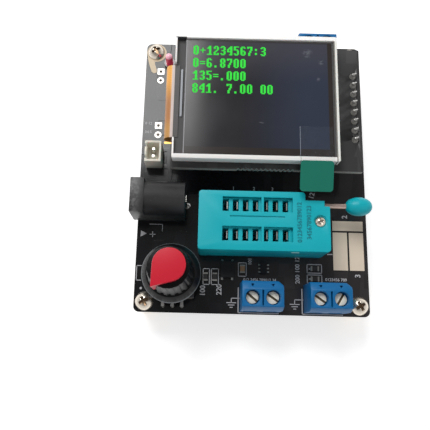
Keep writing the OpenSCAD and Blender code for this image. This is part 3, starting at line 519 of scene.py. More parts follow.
@dataclass(frozen=True)
class MaskFinish(Finish):
    """Solder mask over copper: faint tracks under it, and bare laminate at the cut edges."""

    edge_colour: Colour = paint(52, 48, 40)
    track_lift: float = 0.012
    area_scale: float = 190.0
    area_edge: Flat = (0.34, 0.4)
    band_scale: float = 42.0
    band_edge: Flat = (0.46, 0.54)
    copper_gain: Colour = (1.7, 1.7, 1.7)
    copper_share: float = 0.5
    cut_edge: tuple[float, ...] = (0.4, 0.6, 1.0, 0.0)

    def tracks(self, w: Surface) -> Any:
        """Makes the copper's pattern.

        Args:
            w: The surface's wiring.

        Returns:
            A 0 to 1 value that is high over copper areas with square-cut borders.
        """
        squares = {"Vector": w.place, "Scale": self.area_scale, "Randomness": 0.8}
        cells = w.add("ShaderNodeTexVoronoi", squares, feature="F1", distance="CHEBYCHEV")
        ripples = {"Vector": w.place, "Scale": self.band_scale, "Distortion": 6.0, "Detail": 1.0}
        lines = w.span(w.add("ShaderNodeTexWave", ripples).outputs["Fac"], *self.band_edge)
        return w.times(w.span(cells.outputs["Distance"], *self.area_edge), lines)

    def base(self, w: Surface) -> Any:
        """Colours the mask, a little lighter over copper, and the laminate at the edges.

        Args:
            w: The surface's wiring.

        Returns:
            The colour's socket.
        """
        ground = super().base(w)
        raised = w.mix(1.0, ground, self.copper_gain, "MULTIPLY")
        over = w.mix(w.times(self.tracks(w), self.copper_share), ground, raised)
        up = w.calc("ABSOLUTE", w.normal()["Z"])
        return w.mix(w.span(up, *self.cut_edge), over, self.edge_colour)

    def relief(self, w: Surface, grain: Any) -> Any:
        """Returns the height of the tracks under the mask and its slight orange peel."""
        return w.plus(w.times(self.tracks(w), self.track_lift), w.times(grain, self.grain_depth))


@dataclass(frozen=True)
class BrushedFinish(Finish):
    """Metal with fine marks along one direction."""

    stretch: Place = (1.0, 12.0, 1.0)
    streak_scale: float = 2400.0
    streak_share: float = 0.25
    mark_scale: float = 3600.0

    def rough(self, w: Surface) -> Any:
        """Returns a roughness that streaks along the brushing."""
        streak = w.noise(w.place, self.streak_scale, 3.0, self.stretch)
        return w.plus(w.times(w.minus(streak, 0.5), self.streak_share), self.roughness)

    def relief(self, w: Surface, grain: Any) -> Any:
        """Returns the height of the brush marks."""
        return w.times(w.noise(w.place, self.mark_scale, 2.0, self.stretch), self.grain_depth)


@dataclass(frozen=True)
class ScreenFinish(Finish):
    """Dark display with a few smears, a black border and a painted highlight line at the border's
    left edge.
    """

    border_colour: Colour = paint(50, 45, 43)
    edge_highlight_colour: Colour = paint(142, 142, 146)
    smear_colour: Colour = paint(120, 122, 130)
    smears: tuple[Place, ...] = (
        (44.1, 67.0, 1.7), (47.6, 64.7, 1.1), (46.8, 59.7, 0.7), (32.1, 47.6, 0.8),
    )
    smear_share: float = 0.55
    streak_scale: float = 900.0
    streak_stretch: Place = (1.0, 2.2, 1.0)
    streak_edge: Flat = (0.42, 0.62)
    low: Flat = (12.6, 40.6)
    high: Flat = (49.3, 69.9)
    border_edge: float = 0.1
    edge_highlight_span: Flat = (12.62, 12.54)

    def base(self, w: Surface) -> Any:
        """Colours the picture area, its smears and its border, with a painted highlight line at the
        border's left edge.

        Args:
            w: The surface's wiring.

        Returns:
            The colour's socket.
        """
        x, y, _ = w.board()
        shade = super().base(w)
        streaks = w.noise(w.place, self.streak_scale, 3.0, self.streak_stretch)
        streaks = w.span(streaks, *self.streak_edge)
        for mark_x, mark_y, radius in self.smears:
            away = w.radial((x, y), (mark_x, mark_y))
            mark = w.times(w.span(away, radius, 0.2 * radius), streaks)
            shade = w.mix(w.times(mark, self.smear_share), shade, self.smear_colour)
        sides = zip((x, y), self.low, self.high)
        inside = w.times(*(w.window(*side, self.border_edge) for side in sides))
        # Painted highlight: a pale line on the glass edge at the border's left side.
        border = w.mix(w.span(x, *self.edge_highlight_span), self.border_colour, self.edge_highlight_colour)
        return w.mix(inside, border, shade)


@dataclass(frozen=True)
class RibbonFinish(Finish):
    """Amber film over copper tracks that run across the fold, with a painted glare at the fold and
    painted shadow beyond it.
    """

    track_colour: Colour = paint(186, 116, 62)
    track_share: float = 0.25
    track_lift: float = 0.01
    spacing: float = 0.5
    track_window: tuple[float, ...] = (0.18, 0.82, 0.06)
    # Painted light: a pale glare where the film bends at the fold, then the glass ledge's painted
    # shadow.
    fold: tuple[Step, ...] = (
        (paint(204, 186, 178), (X, 8.8, 8.95)), (paint(66, 63, 62), (X, 9.5, 9.65)),
    )

    def lines(self, w: Surface) -> Any:
        """Returns 1 over the tracks and 0 between them."""
        phase = w.calc("FRACT", w.calc("DIVIDE", w.board()[1], self.spacing))
        return w.window(phase, *self.track_window)

    def base(self, w: Surface) -> Any:
        """Returns amber beside the display, a painted glare at the fold and painted shadow over the
        glass.
        """
        tracks = w.times(self.lines(w), self.track_share)
        return w.steps(w.mix(tracks, super().base(w), self.track_colour), self.fold)

    def relief(self, w: Surface, grain: Any) -> Any:
        """Returns the height of the tracks under the film."""
        return w.times(self.lines(w), self.track_lift)


@dataclass(frozen=True)
class LeadedFinish(Finish):
    """Moulded body with metal beyond a box round its middle, both in one solid."""

    middle: Flat = (0.0, 0.0)
    half: Flat = (3.5, 3.5)
    lead_colour: Colour = paint(196, 194, 188)

    def metal(self, w: Surface) -> Any:
        """Finds the leads.

        Args:
            w: The surface's wiring.

        Returns:
            1 outside the body's box and 0 inside it.
        """
        sides = zip(w.board(), self.middle, self.half)
        far = (w.minus(w.calc("ABSOLUTE", w.minus(v, middle)), half) for v, middle, half in sides)
        return w.calc("GREATER_THAN", w.calc("MAXIMUM", *far), 0.001)

    def base(self, w: Surface) -> Any:
        """Returns the body's colour, or the metal's beyond the box."""
        return w.mix(self.metal(w), self.colour, self.lead_colour)


@dataclass(frozen=True)
class ClearFilm(Finish):
    """Thin clear film, seen by its sheen and its edge, and solid in front of a line across it."""

    haze: float = 0.015
    haze_scale: float = 700.0
    edge_cover: float = 0.2
    side_edge: Flat = (0.9, 0.5)
    left_edge: Flat = (41.96, 41.88)
    solid_from: float = 0.0

    def cover(self, w: Surface) -> Any:
        """Makes the film see-through.

        Args:
            w: The surface's wiring.

        Returns:
            A light haze, more at the film's edges, and 1 in front of the line.
        """
        x, y, _ = w.board()
        up = w.calc("ABSOLUTE", w.normal()["Z"])
        edge = w.calc("MAXIMUM", w.span(up, *self.side_edge), w.span(x, *self.left_edge))
        haze = w.times(w.noise(w.place, self.haze_scale, 3.0), self.haze)
        clear = w.plus(haze, w.times(edge, self.edge_cover), clamp=True)
        return w.plus(clear, w.calc("LESS_THAN", y, self.solid_from), clamp=True)


@dataclass(frozen=True)
class SlottedFinish(BrushedFinish):
    """A bright screw head whose slot and sides carry painted shade."""

    face_edge: Flat = (8.1, 8.19)
    # Painted shade: the brownish dark in the slot and on the head's sides.
    slot_shade_colour: Colour = paint(112, 97, 72)

    def bright(self, w: Surface) -> Any:
        """Returns 1 on the head's face and 0 below it."""
        return w.span(w.board()[2], *self.face_edge)

    def base(self, w: Surface) -> Any:
        """Returns the metal's colour on the face and the painted shade below it."""
        return w.mix(self.bright(w), self.slot_shade_colour, self.colour)


@dataclass(frozen=True)
class DomedFinish(SlottedFinish):
    """A domed screw head at each corner, with painted shade inside its cross recess."""

    corner: Flat = (28.4, 36.2)
    ball: float = 2.636
    rise: float = 1.8
    recess_edge: Flat = (-0.25, -0.08)

    def bright(self, w: Surface) -> Any:
        """Compares the surface with the dome's ball.

        Args:
            w: The surface's wiring.

        Returns:
            1 on the dome and 0 inside the recess.
        """
        x, y, z = w.split(w.place)
        away = w.spread([w.times(w.calc("ABSOLUTE", v), 1 / MM) for v in (x, y)], self.corner)
        dome = w.calc("SQRT", w.calc("MAXIMUM", w.minus(self.ball**2, away), 0.0))
        height = w.minus(w.times(z, 1 / MM), BOARD_TOP + self.rise - self.ball)
        # Painted shade fills the cross recess.
        return w.span(w.minus(height, dome), *self.recess_edge)


@dataclass(frozen=True)
class KnobFinish(Finish):
    """Black moulding with a painted highlight, a thin pale line, round the skirt's rim."""

    axis: Flat = (10.3, 9.3)
    rim_highlight_edge: Flat = (7.2, 7.3)
    # Painted highlight: the pale line that the rounded rim shows.
    rim_highlight_colour: Colour = paint(98, 104, 106)

    def base(self, w: Surface) -> Any:
        """Returns the black, with the painted highlight outside the rim's radius."""
        away = w.radial(w.board(), self.axis)
        return w.mix(w.span(away, *self.rim_highlight_edge), self.colour, self.rim_highlight_colour)


@dataclass(frozen=True)
class PointerFinish(Finish):
    """Red moulding with a painted highlight on its rounded edge, on the lit side."""

    # Here edge_colour is the painted highlight's pale pink.
    edge_colour: Colour = paint(246, 150, 162)
    lit_side: Flat = (-1.0, 0.6)
    lean_edge: Flat = (0.4, 0.75)
    rise_edge: Flat = (0.15, 0.5)

    def base(self, w: Surface) -> Any:
        """Colours the red, with a painted highlight where the rounding leans to the lit side.

        Args:
            w: The surface's wiring.

        Returns:
            The colour's socket.
        """
        x, y, z = w.normal()
        lean = w.plus(w.times(x, self.lit_side[0]), w.times(y, self.lit_side[1]))
        lit = w.times(w.span(lean, *self.lean_edge), w.span(z, *self.rise_edge))
        return w.mix(lit, self.colour, self.edge_colour)


@dataclass(frozen=True)
class LensFinish(Finish):
    """Tinted lens over a foot painted dark grey as shade."""

    axis: Flat = (6.9, 71.55)
    foot_edge: Flat = (1.04, 1.12)
    # Painted shade: the dark grey of the foot round the lens.
    foot_shade_colour: Colour = paint(66, 56, 58)

    def base(self, w: Surface) -> Any:
        """Returns the lens's tint, with painted shade outside the foot's radius."""
        foot = w.span(w.radial(w.board(), self.axis), *self.foot_edge)
        return w.mix(foot, super().base(w), self.foot_shade_colour)


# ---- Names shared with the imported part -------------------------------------


class Body(str, Enum):
    """The bodies that pieces ride on, apart from the six terminal screws."""

    BOARD = "board"
    LEVER = "lever"
    SLIDER = "slider"
    KNOB = "knob"


class Slot(str, Enum):
    """The record's material slots."""

    MASK = "black_solder_mask"
    BRASS = "brass"
    NICKEL = "nickel_steel"
    TIN = "tinned_copper"
    SOLDER = "solder"
    EPOXY = "chip_epoxy"
    CERAMIC = "capacitor_ceramic"
    NYLON = "white_nylon"
    PINS = "tinned_pins"
    BLACK = "black_plastic"
    WHITE = "white_plastic"
    GLASS = "display_glass"
    POLARISER = "dark_polariser"
    SILICON = "driver_silicon"
    FILM = "clear_film"
    TAB = "green_film"
    TEAL = "teal_plastic"
    ZINC = "die_cast_zinc"
    GLOSS_BLACK = "black_gloss_plastic"
    RED = "red_plastic"
    BLUE = "blue_plastic"
    SCREW = "zinc_screw"


# ---- Finishes --------------------------------------------------------------

CLEAN = {"dust": 0.0}
SHEET = {"grain_depth": 0.001}
MOULDED = {"specular": 0.3, "grain_depth": 0.012, "dust": 0.02}

MASK = MaskFinish(
    "black_mask", paint(16, 17, 20), 0.14, specular=0.35, blotch=0.15, dust=0.05,
    # Painted sheen: the step makes the mask lighter from 20 to 42 mm across, and it stays lighter
    # beyond.
    steps=((paint(44, 41, 42), (X, 20.0, 42.0)),),
)
MODULE_MASK = MaskFinish(
    "module_mask", paint(52, 52, 52), 0.34, specular=0.3, blotch=0.12, dust=0.04,
    edge_colour=paint(158, 154, 148), track_lift=0.004,
)
INK = Finish("white_ink", paint(182, 181, 184), 0.55, blotch=0.35, grain_scale=5200.0, **CLEAN)
TIN = BrushedFinish(
    "levelled_tin", paint(222, 205, 184), 0.6, blotch=0.1, stretch=(1.0, 1.4, 1.0), dust=0.03
)
LANDS = Finish("bright_lands", paint(244, 244, 242), 0.35, 0.3, blotch=0.08, **CLEAN)
RING = Finish(
    "ring_tin", paint(190, 174, 148), 0.5, 0.2, blotch=0.5, grain_scale=1800.0, grain_depth=0.05,
    **CLEAN,
)
GOLD = Finish("gold_land", paint(206, 160, 88), 0.3, 0.9, **CLEAN)
SOLDER = Finish("bright_solder", paint(226, 225, 222), 0.24, 0.7, grain_scale=1500.0, **CLEAN)
NICKEL = BrushedFinish("nickel_plate", paint(214, 204, 190), 0.22, 1.0, blotch=0.12, **CLEAN)
CORNER_HEAD = DomedFinish(
    "corner_head", paint(222, 212, 198), 0.24, 0.95, slot_shade_colour=paint(120, 98, 76), **CLEAN
)
BRASS = Finish(
    "turned_brass", paint(214, 174, 96), 0.28, 1.0, wear=0.2, wear_colour=paint(240, 214, 150)
)
DULL_TIN = Finish(
    "dull_tin", paint(150, 148, 144), 0.42, 0.6, blotch=0.3, grain_scale=1500.0, **CLEAN
)
EPOXY = Finish(
    "moulded_epoxy", paint(29, 29, 31), 0.6, specular=0.25, grain_depth=0.01, dust=0.03
)
RESISTOR = Finish("resistor_glaze", paint(40, 38, 38), 0.35, specular=0.4, blotch=0.3)
FLAT_PACK = LeadedFinish("flat_pack_epoxy", paint(34, 34, 37), 0.55, middle=(25.4, 53.8))
REGULATOR = LeadedFinish(
    "regulator_epoxy", paint(34, 34, 37), 0.55, middle=(42.4, 48.8), half=(2.25, 1.25)
)
CAN = BrushedFinish("satin_can", paint(206, 203, 196), 0.3, 1.0, stretch=(8.0, 1.0, 1.0))
CERAMIC = Finish("tan_ceramic", paint(150, 112, 78), 0.5, blotch=0.3, dust=0.05)
LENS = LensFinish(
    "tinted_lens", paint(236, 70, 100), 0.22, coat=0.5, blotch=0.1, glow=0.15,
    # Painted highlight: the step turns the lens pale pink over its top.
    steps=((paint(255, 186, 202), (Z, 4.1, 4.7)),), **CLEAN,
)
NYLON = Finish("satin_nylon", paint(226, 222, 208), 0.45, blotch=0.08, subsurface=0.2)
PINS = Finish("plated_pins", paint(222, 220, 214), 0.26, 0.95, blotch=0.15, **CLEAN)
BLACK = Finish("moulded_black", paint(34, 34, 36), 0.42, grain_depth=0.012, wear=0.15)
FOAM = Finish("open_foam", paint(216, 214, 206), 0.9, grain_scale=3000.0, grain_depth=0.06)
WHITE = Finish(
    "frame_white", paint(238, 236, 232), 0.38, blotch=0.05, dust=0.02, subsurface=0.1,
    # Painted light and shade: grey shade on the right wall's inner face, white again on its outer
    # side, a lighter rear wall, and painted shadow at the rear wall's left end.
    steps=(
        (paint(128, 126, 120), (X, 50.9, 51.0)),
        (paint(240, 239, 232), (X, 51.2, 51.3)),
        (paint(252, 251, 248), (Y, 70.55, 70.65)),
        (paint(58, 58, 62), (Y, 70.55, 70.65), (Y, 70.95, 70.85), (X, 12.5, 12.35)),
    ),
)
GLASS = Finish("ledge_glass", paint(86, 85, 85), 0.12, specular=0.3, dust=0.05, **SHEET)
SCREEN = ScreenFinish(
    "screen_film", paint(40, 39, 42), 0.16, specular=0.25, blotch=0.06, dust=0.03,
    # Painted reflection: the steps make the screen bluish towards the right, paler towards the rear
    # and pale towards the left edge.
    steps=(
        (paint(50, 56, 72), (X, 24.0, 46.0)),
        (paint(70, 69, 76), (Y, 57.0, 70.0, 0.0, 0.7)),
        (paint(100, 98, 96), (X, 19.0, 12.6), (Y, 40.0, 66.0, 0.25, 0.8)),
    ),
    **SHEET,
)
READOUT = Finish("green_pixels", paint(60, 214, 70), 0.4, specular=0.0, glow=0.2, **CLEAN)
SILICON = Finish("polished_silicon", paint(112, 115, 120), 0.35, 0.3, blotch=0.1, **CLEAN)
FLEX = RibbonFinish(
    "amber_flex", paint(198, 150, 86), 0.38, specular=0.35, dust=0.02,
    steps=((paint(180, 126, 82), (Y, 45.5, 49.0)), (paint(250, 184, 92), (Y, 52.0, 60.0))),
)
FILM = ClearFilm("hazed_film", paint(214, 226, 240), 0.08, blotch=0.05, **CLEAN)
TAB = ClearFilm(
    "green_tab", paint(18, 116, 97), 0.5, specular=0.25, blotch=0.12, grain_scale=1600.0,
    dust=0.02, solid_from=37.4,
)
TEAL = Finish("moulded_teal", paint(4, 174, 186), 0.4, blotch=0.12, **MOULDED)
# Painted highlight: a thin pale strip that glows on the socket base's front.
HIGHLIGHT_STRIP = Finish("highlight_strip", paint(170, 200, 200), 0.5, specular=0.2, glow=0.3, **CLEAN)
DEEP_TEAL = Finish("figure_teal", paint(8, 118, 130), 0.45, specular=0.3, **CLEAN)
ROD = BrushedFinish(
    "drawn_rod", paint(200, 178, 168), 0.3, 0.9, stretch=(0.5, 10.0, 10.0), **CLEAN
)
LAMINATE = Finish("fibre_laminate", paint(52, 42, 34), 0.65, blotch=0.3)
ZINC = Finish("cast_zinc", paint(188, 188, 190), 0.38, 0.95, blotch=0.3, grain_depth=0.02)
DARK_ZINC = Finish(
    "blackened_zinc", paint(44, 44, 47), 0.5, 0.5, blotch=0.3, grain_depth=0.02
)
SPRING = Finish("sprung_steel", paint(205, 205, 208), 0.2, 1.0)
GLOSS_BLACK = KnobFinish("gloss_black", paint(14, 14, 16), 0.36, specular=0.16, dust=0.02)
RED = PointerFinish("moulded_red", paint(206, 28, 50), 0.36, specular=0.3, blotch=0.08, **CLEAN)
BLUE = Finish("moulded_blue", paint(2, 100, 156), 0.42, blotch=0.14, **MOULDED)
SCREW = SlottedFinish(
    "slotted_zinc", paint(244, 236, 218), 0.5, 0.1, stretch=(1.0, 5.0, 1.0), **CLEAN
)


# ---- Modelling -------------------------------------------------------------


class Bench:
    """The modelling steps that pieces share."""

    MERGED = 0.002 * MM
    LEVEL = math.radians(0.8)
    SHARP = math.radians(40)

    @staticmethod
    def take(*pieces: bpy.types.Object) -> None:
        """Selects these objects alone and makes the first one active.

        Args:
            *pieces: The objects. With none, nothing stays selected.
        """
        bpy.ops.object.select_all(action="DESELECT")
        for piece in pieces:
            piece.select_set(True)
        if pieces:
            bpy.context.view_layer.objects.active = pieces[0]

    @classmethod
    @contextmanager
    def editing(cls, piece: bpy.types.Object) -> Iterator[bmesh.types.BMesh]:
        """Opens a piece in edit mode for the length of a with block.

        Args:
            piece: The object.

        Yields:
            Its edit mesh.
        """
        cls.take(piece)
        bpy.ops.object.mode_set(mode="EDIT")
        yield bmesh.from_edit_mesh(piece.data)
        bpy.ops.object.mode_set(mode="OBJECT")

    @classmethod
    def apply(cls, piece: bpy.types.Object, kind: str, **settings: Any) -> None:
        """Adds a modifier to a piece and applies it.

        Args:
            piece: The object.
            kind: Blender's modifier type.
            **settings: The modifier's options.
        """
        cls.take(piece)
        modifier = piece.modifiers.new(kind.lower(), kind)
        for key, value in settings.items():
            setattr(modifier, key, value)
        bpy.ops.object.modifier_apply(modifier=modifier.name)

    @classmethod
    def bevel(cls, piece: bpy.types.Object, width: float, segments: int = 2) -> None:
        """Rounds a piece's sharp edges.

        Args:
            piece: The object.
            width: Bevel width in millimetres.
            segments: Faces across the bevel.
        """
        settings = {"width": width * MM, "segments": segments, "limit_method": "ANGLE"}
        cls.apply(piece, "BEVEL", angle_limit=cls.SHARP, loop_slide=False, **settings)

    @classmethod
    def smooth(cls, piece: bpy.types.Object, angle: float = 35.0) -> None:
        """Shades a piece smooth up to an angle in degrees."""
        cls.take(piece)
        bpy.ops.object.shade_smooth_by_angle(angle=math.radians(angle))

    @classmethod
    def join(cls, pieces: Sequence[bpy.types.Object]) -> bpy.types.Object:
        """Joins pieces into the first one.

        Args:
            pieces: The objects, two or more.

        Returns:
            The first object, which holds them all.
        """
        cls.take(*pieces)
        bpy.ops.object.join()
        return pieces[0]

    @classmethod
    def cut(cls, piece: bpy.types.Object, tool: bpy.types.Object) -> None:
        """Cuts one piece with another and removes the cutter."""
        cls.apply(piece, "BOOLEAN", operation="DIFFERENCE", object=tool, solver="EXACT")
        bpy.data.objects.remove(tool)

    @classmethod
    def thicken(cls, height: float) -> None:
        """Raises the flat mesh in edit mode, with its faces outwards.

        Args:
            height: The thickness that it gets, in millimetres.
        """
        bpy.ops.mesh.select_all(action="SELECT")
        rise = {"value": (0, 0, height * MM)}
        bpy.ops.mesh.extrude_region_move(TRANSFORM_OT_translate=rise)
        bpy.ops.mesh.select_all(action="SELECT")
        bpy.ops.mesh.normals_make_consistent(inside=False)

    @classmethod
    def copy_node(cls, node: str, flatten: bool = True) -> bpy.types.Object:
        """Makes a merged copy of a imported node's mesh.

        Args:
            node: The node's name.
            flatten: Whether flat areas become one face each, where no face has a window.

        Returns:
            The new object, at the origin.
        """
        piece = placed(f"{node}_copy", bpy.data.objects[node].data.copy())
        piece.data.materials.clear()
        with cls.editing(piece):
            bpy.ops.mesh.select_all(action="SELECT")
            bpy.ops.mesh.remove_doubles(threshold=cls.MERGED)
            if flatten:
                bpy.ops.mesh.dissolve_limited(angle_limit=cls.LEVEL)
        return piece

    @classmethod
    def block(cls, size: Place, place: Vector, turn: float = 0.0) -> bpy.types.Object:
        """Adds a block to be shaped further.

        Args:
            size: Its three sides in millimetres.
            place: Its middle in metres.
            turn: Its turn in degrees about the upright.

        Returns:
            The block's object.
        """
        cls.take()
        sides = tuple(side * MM for side in size)
        turned = (0, 0, math.radians(turn))
        bpy.ops.mesh.primitive_cube_add(size=1, location=place, rotation=turned, scale=sides)
        return bpy.context.object

    @classmethod
    def disc(
        cls, radius: float, depth: float, place: Vector, vertices: int = 40
    ) -> bpy.types.Object:
        """Adds an upright round bar to be shaped further or to cut with.

        Args:
            radius: Its radius in millimetres.
            depth: Its height in millimetres.
            place: Its middle in metres.
            vertices: Corners round it.

        Returns:
            The bar's object.
        """
        cls.take()
        bpy.ops.mesh.primitive_cylinder_add(
            vertices=vertices, radius=radius * MM, depth=depth * MM, location=place
        )
        return bpy.context.object

    @classmethod
    def islands(cls, mesh: bmesh.types.BMesh) -> list[list[bmesh.types.BMFace]]:
        """Sorts a mesh's faces into its separate solids.

        Args:
            mesh: The edit mesh.

        Returns:
            The faces of each solid.
        """
        left, found = set(mesh.faces), []
        while left:
            reached = [left.pop()]
            for face in reached:
                near = {other for edge in face.edges for other in edge.link_faces} & left
                left -= near
                reached.extend(near)
            found.append(reached)
        return found

    @classmethod
    def hand_over(
        cls,
        piece: bpy.types.Object,
        name: str,
        finish: Finish,
        slot: Slot,
        body: str = Body.BOARD.value,
        stands_for: str | None = None,
    ) -> None:
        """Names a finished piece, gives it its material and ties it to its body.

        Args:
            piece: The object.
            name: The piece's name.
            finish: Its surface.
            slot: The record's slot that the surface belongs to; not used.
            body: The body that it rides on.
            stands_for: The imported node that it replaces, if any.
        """
        cls.take(piece)
        bpy.ops.object.transform_apply(location=True, rotation=True, scale=True)
        piece.name = piece.data.name = name
        if not piece.data.materials:
            piece.data.materials.append(finish.material())
        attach(piece, body)
        if stands_for:
            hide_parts(stands_for)
        LOG.info("%s: %d faces on %s", name, len(piece.data.polygons), body)


def dress(node: str, finish: Finish) -> None:
    """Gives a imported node, which stays as it is, its finish.

    Args:
        node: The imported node.
        finish: Its surface.
    """
    for slot in bpy.data.objects[node].material_slots:
        slot.material = finish.material()
    LOG.info("%s: dressed", node)


def refined(
    node: str,
    name: str,
    finish: Finish,
    slot: Slot,
    body: str = Body.BOARD.value,
    width: float = 0.12,
    segments: int = 2,
    flatten: bool = True,
) -> None:
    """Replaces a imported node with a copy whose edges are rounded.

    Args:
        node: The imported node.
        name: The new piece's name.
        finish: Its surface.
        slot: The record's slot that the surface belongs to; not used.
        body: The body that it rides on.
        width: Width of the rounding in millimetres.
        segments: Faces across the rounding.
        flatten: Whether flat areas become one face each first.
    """
    piece = Bench.copy_node(node, flatten)
    Bench.bevel(piece, width, segments)
    Bench.smooth(piece)
    Bench.hand_over(piece, name, finish, slot, body, node)


@dataclass
class Figures:
    """Plain figures as raised type, centred on a board place."""

    text: str
    size: float
    place: Flat
    turn: float = 0.0

    def build(self, low: float, depth: float) -> bpy.types.Object:
        """Makes the figures as a mesh.

        Args:
            low: Height of their underside above the board, in millimetres.
            depth: How far they stand up, in millimetres.

        Returns:
            The mesh object.
        """
        middle = on_board(*self.place, low + depth / 2)
        bpy.ops.object.text_add(location=middle, rotation=(0, 0, math.radians(self.turn)))
        piece = bpy.context.object
        piece.data.body = self.text
        piece.data.size = self.size * MM
        piece.data.align_x = piece.data.align_y = "CENTER"
        piece.data.extrude = depth / 2 * MM
        piece.data.offset = 0.02 * self.size * MM
        piece.data.resolution_u = 3
        Bench.take(piece)
        bpy.ops.object.convert(target="MESH")
        bpy.ops.object.transform_apply(location=True, rotation=True, scale=True)
        return piece


@dataclass
class Ink:
    """White printing on the board: straight strokes, filled shapes and figures."""

    height: float = 0.02
    line: float = 0.2
    earth_bars: tuple[Flat, ...] = ((1.2, 0.0), (0.75, 0.6), (0.3, 1.2))
    parts: list[bpy.types.Object] = field(default_factory=list)

    def strokes(self, width: float, *lines: tuple[float, float, float, float]) -> None:
        """Draws straight strokes.

        Args:
            width: Their width as a share of the usual line.
            *lines: The two ends of each stroke, as board places.
        """
        wide = width * self.line
        piece = placed("strokes", bpy.data.meshes.new("strokes"))
        with Bench.editing(piece):
            for x0, y0, x1, y1 in lines:
                bpy.ops.mesh.primitive_cube_add(
                    size=1,
                    location=on_board((x0 + x1) / 2, (y0 + y1) / 2, PRINT_LIFT + self.height / 2),
                    rotation=(0, 0, math.atan2(y1 - y0, x1 - x0)),
                    scale=((math.hypot(x1 - x0, y1 - y0) + wide) * MM, wide * MM, self.height * MM),
                )
        self.parts.append(piece)

    def frame(self, x0: float, y0: float, x1: float, y1: float) -> None:
        """Draws the outline of a box between two corners."""
        corners = (x0, y0), (x1, y0), (x1, y1), (x0, y1)
        self.strokes(1, *((*a, *b) for a, b in zip(corners, corners[1:] + corners[:1])))

    def earth(self, x: float, y: float) -> None:
        """Draws an earth mark with its stem to the right, at the foot of the stem."""
        bars = [(x - half, y - low, x + half, y - low) for half, low in self.earth_bars]
        self.strokes(1, *bars, (x, y, x, y + 1.2), (x, y + 1.2, x + 2.2, y + 1.2))

    def patch(self, points: Sequence[Flat], height: float | None = None) -> bpy.types.Object:
        """Prints a filled shape.

        Args:
            points: Its corners in order, anticlockwise, as board places.
            height: Thickness in millimetres, the ink's own when left out.

        Returns:
            The shape's object.
        """
        Bench.take()
        bpy.ops.mesh.primitive_circle_add(vertices=len(points), radius=MM, fill_type="NGON")
        piece = bpy.context.object
        for vertex, point in zip(piece.data.vertices, points):
            vertex.co = on_board(*point, PRINT_LIFT)
        with Bench.editing(piece):
            Bench.thicken(height or self.height)
        return piece


# ---- Main board ------------------------------------------------------------


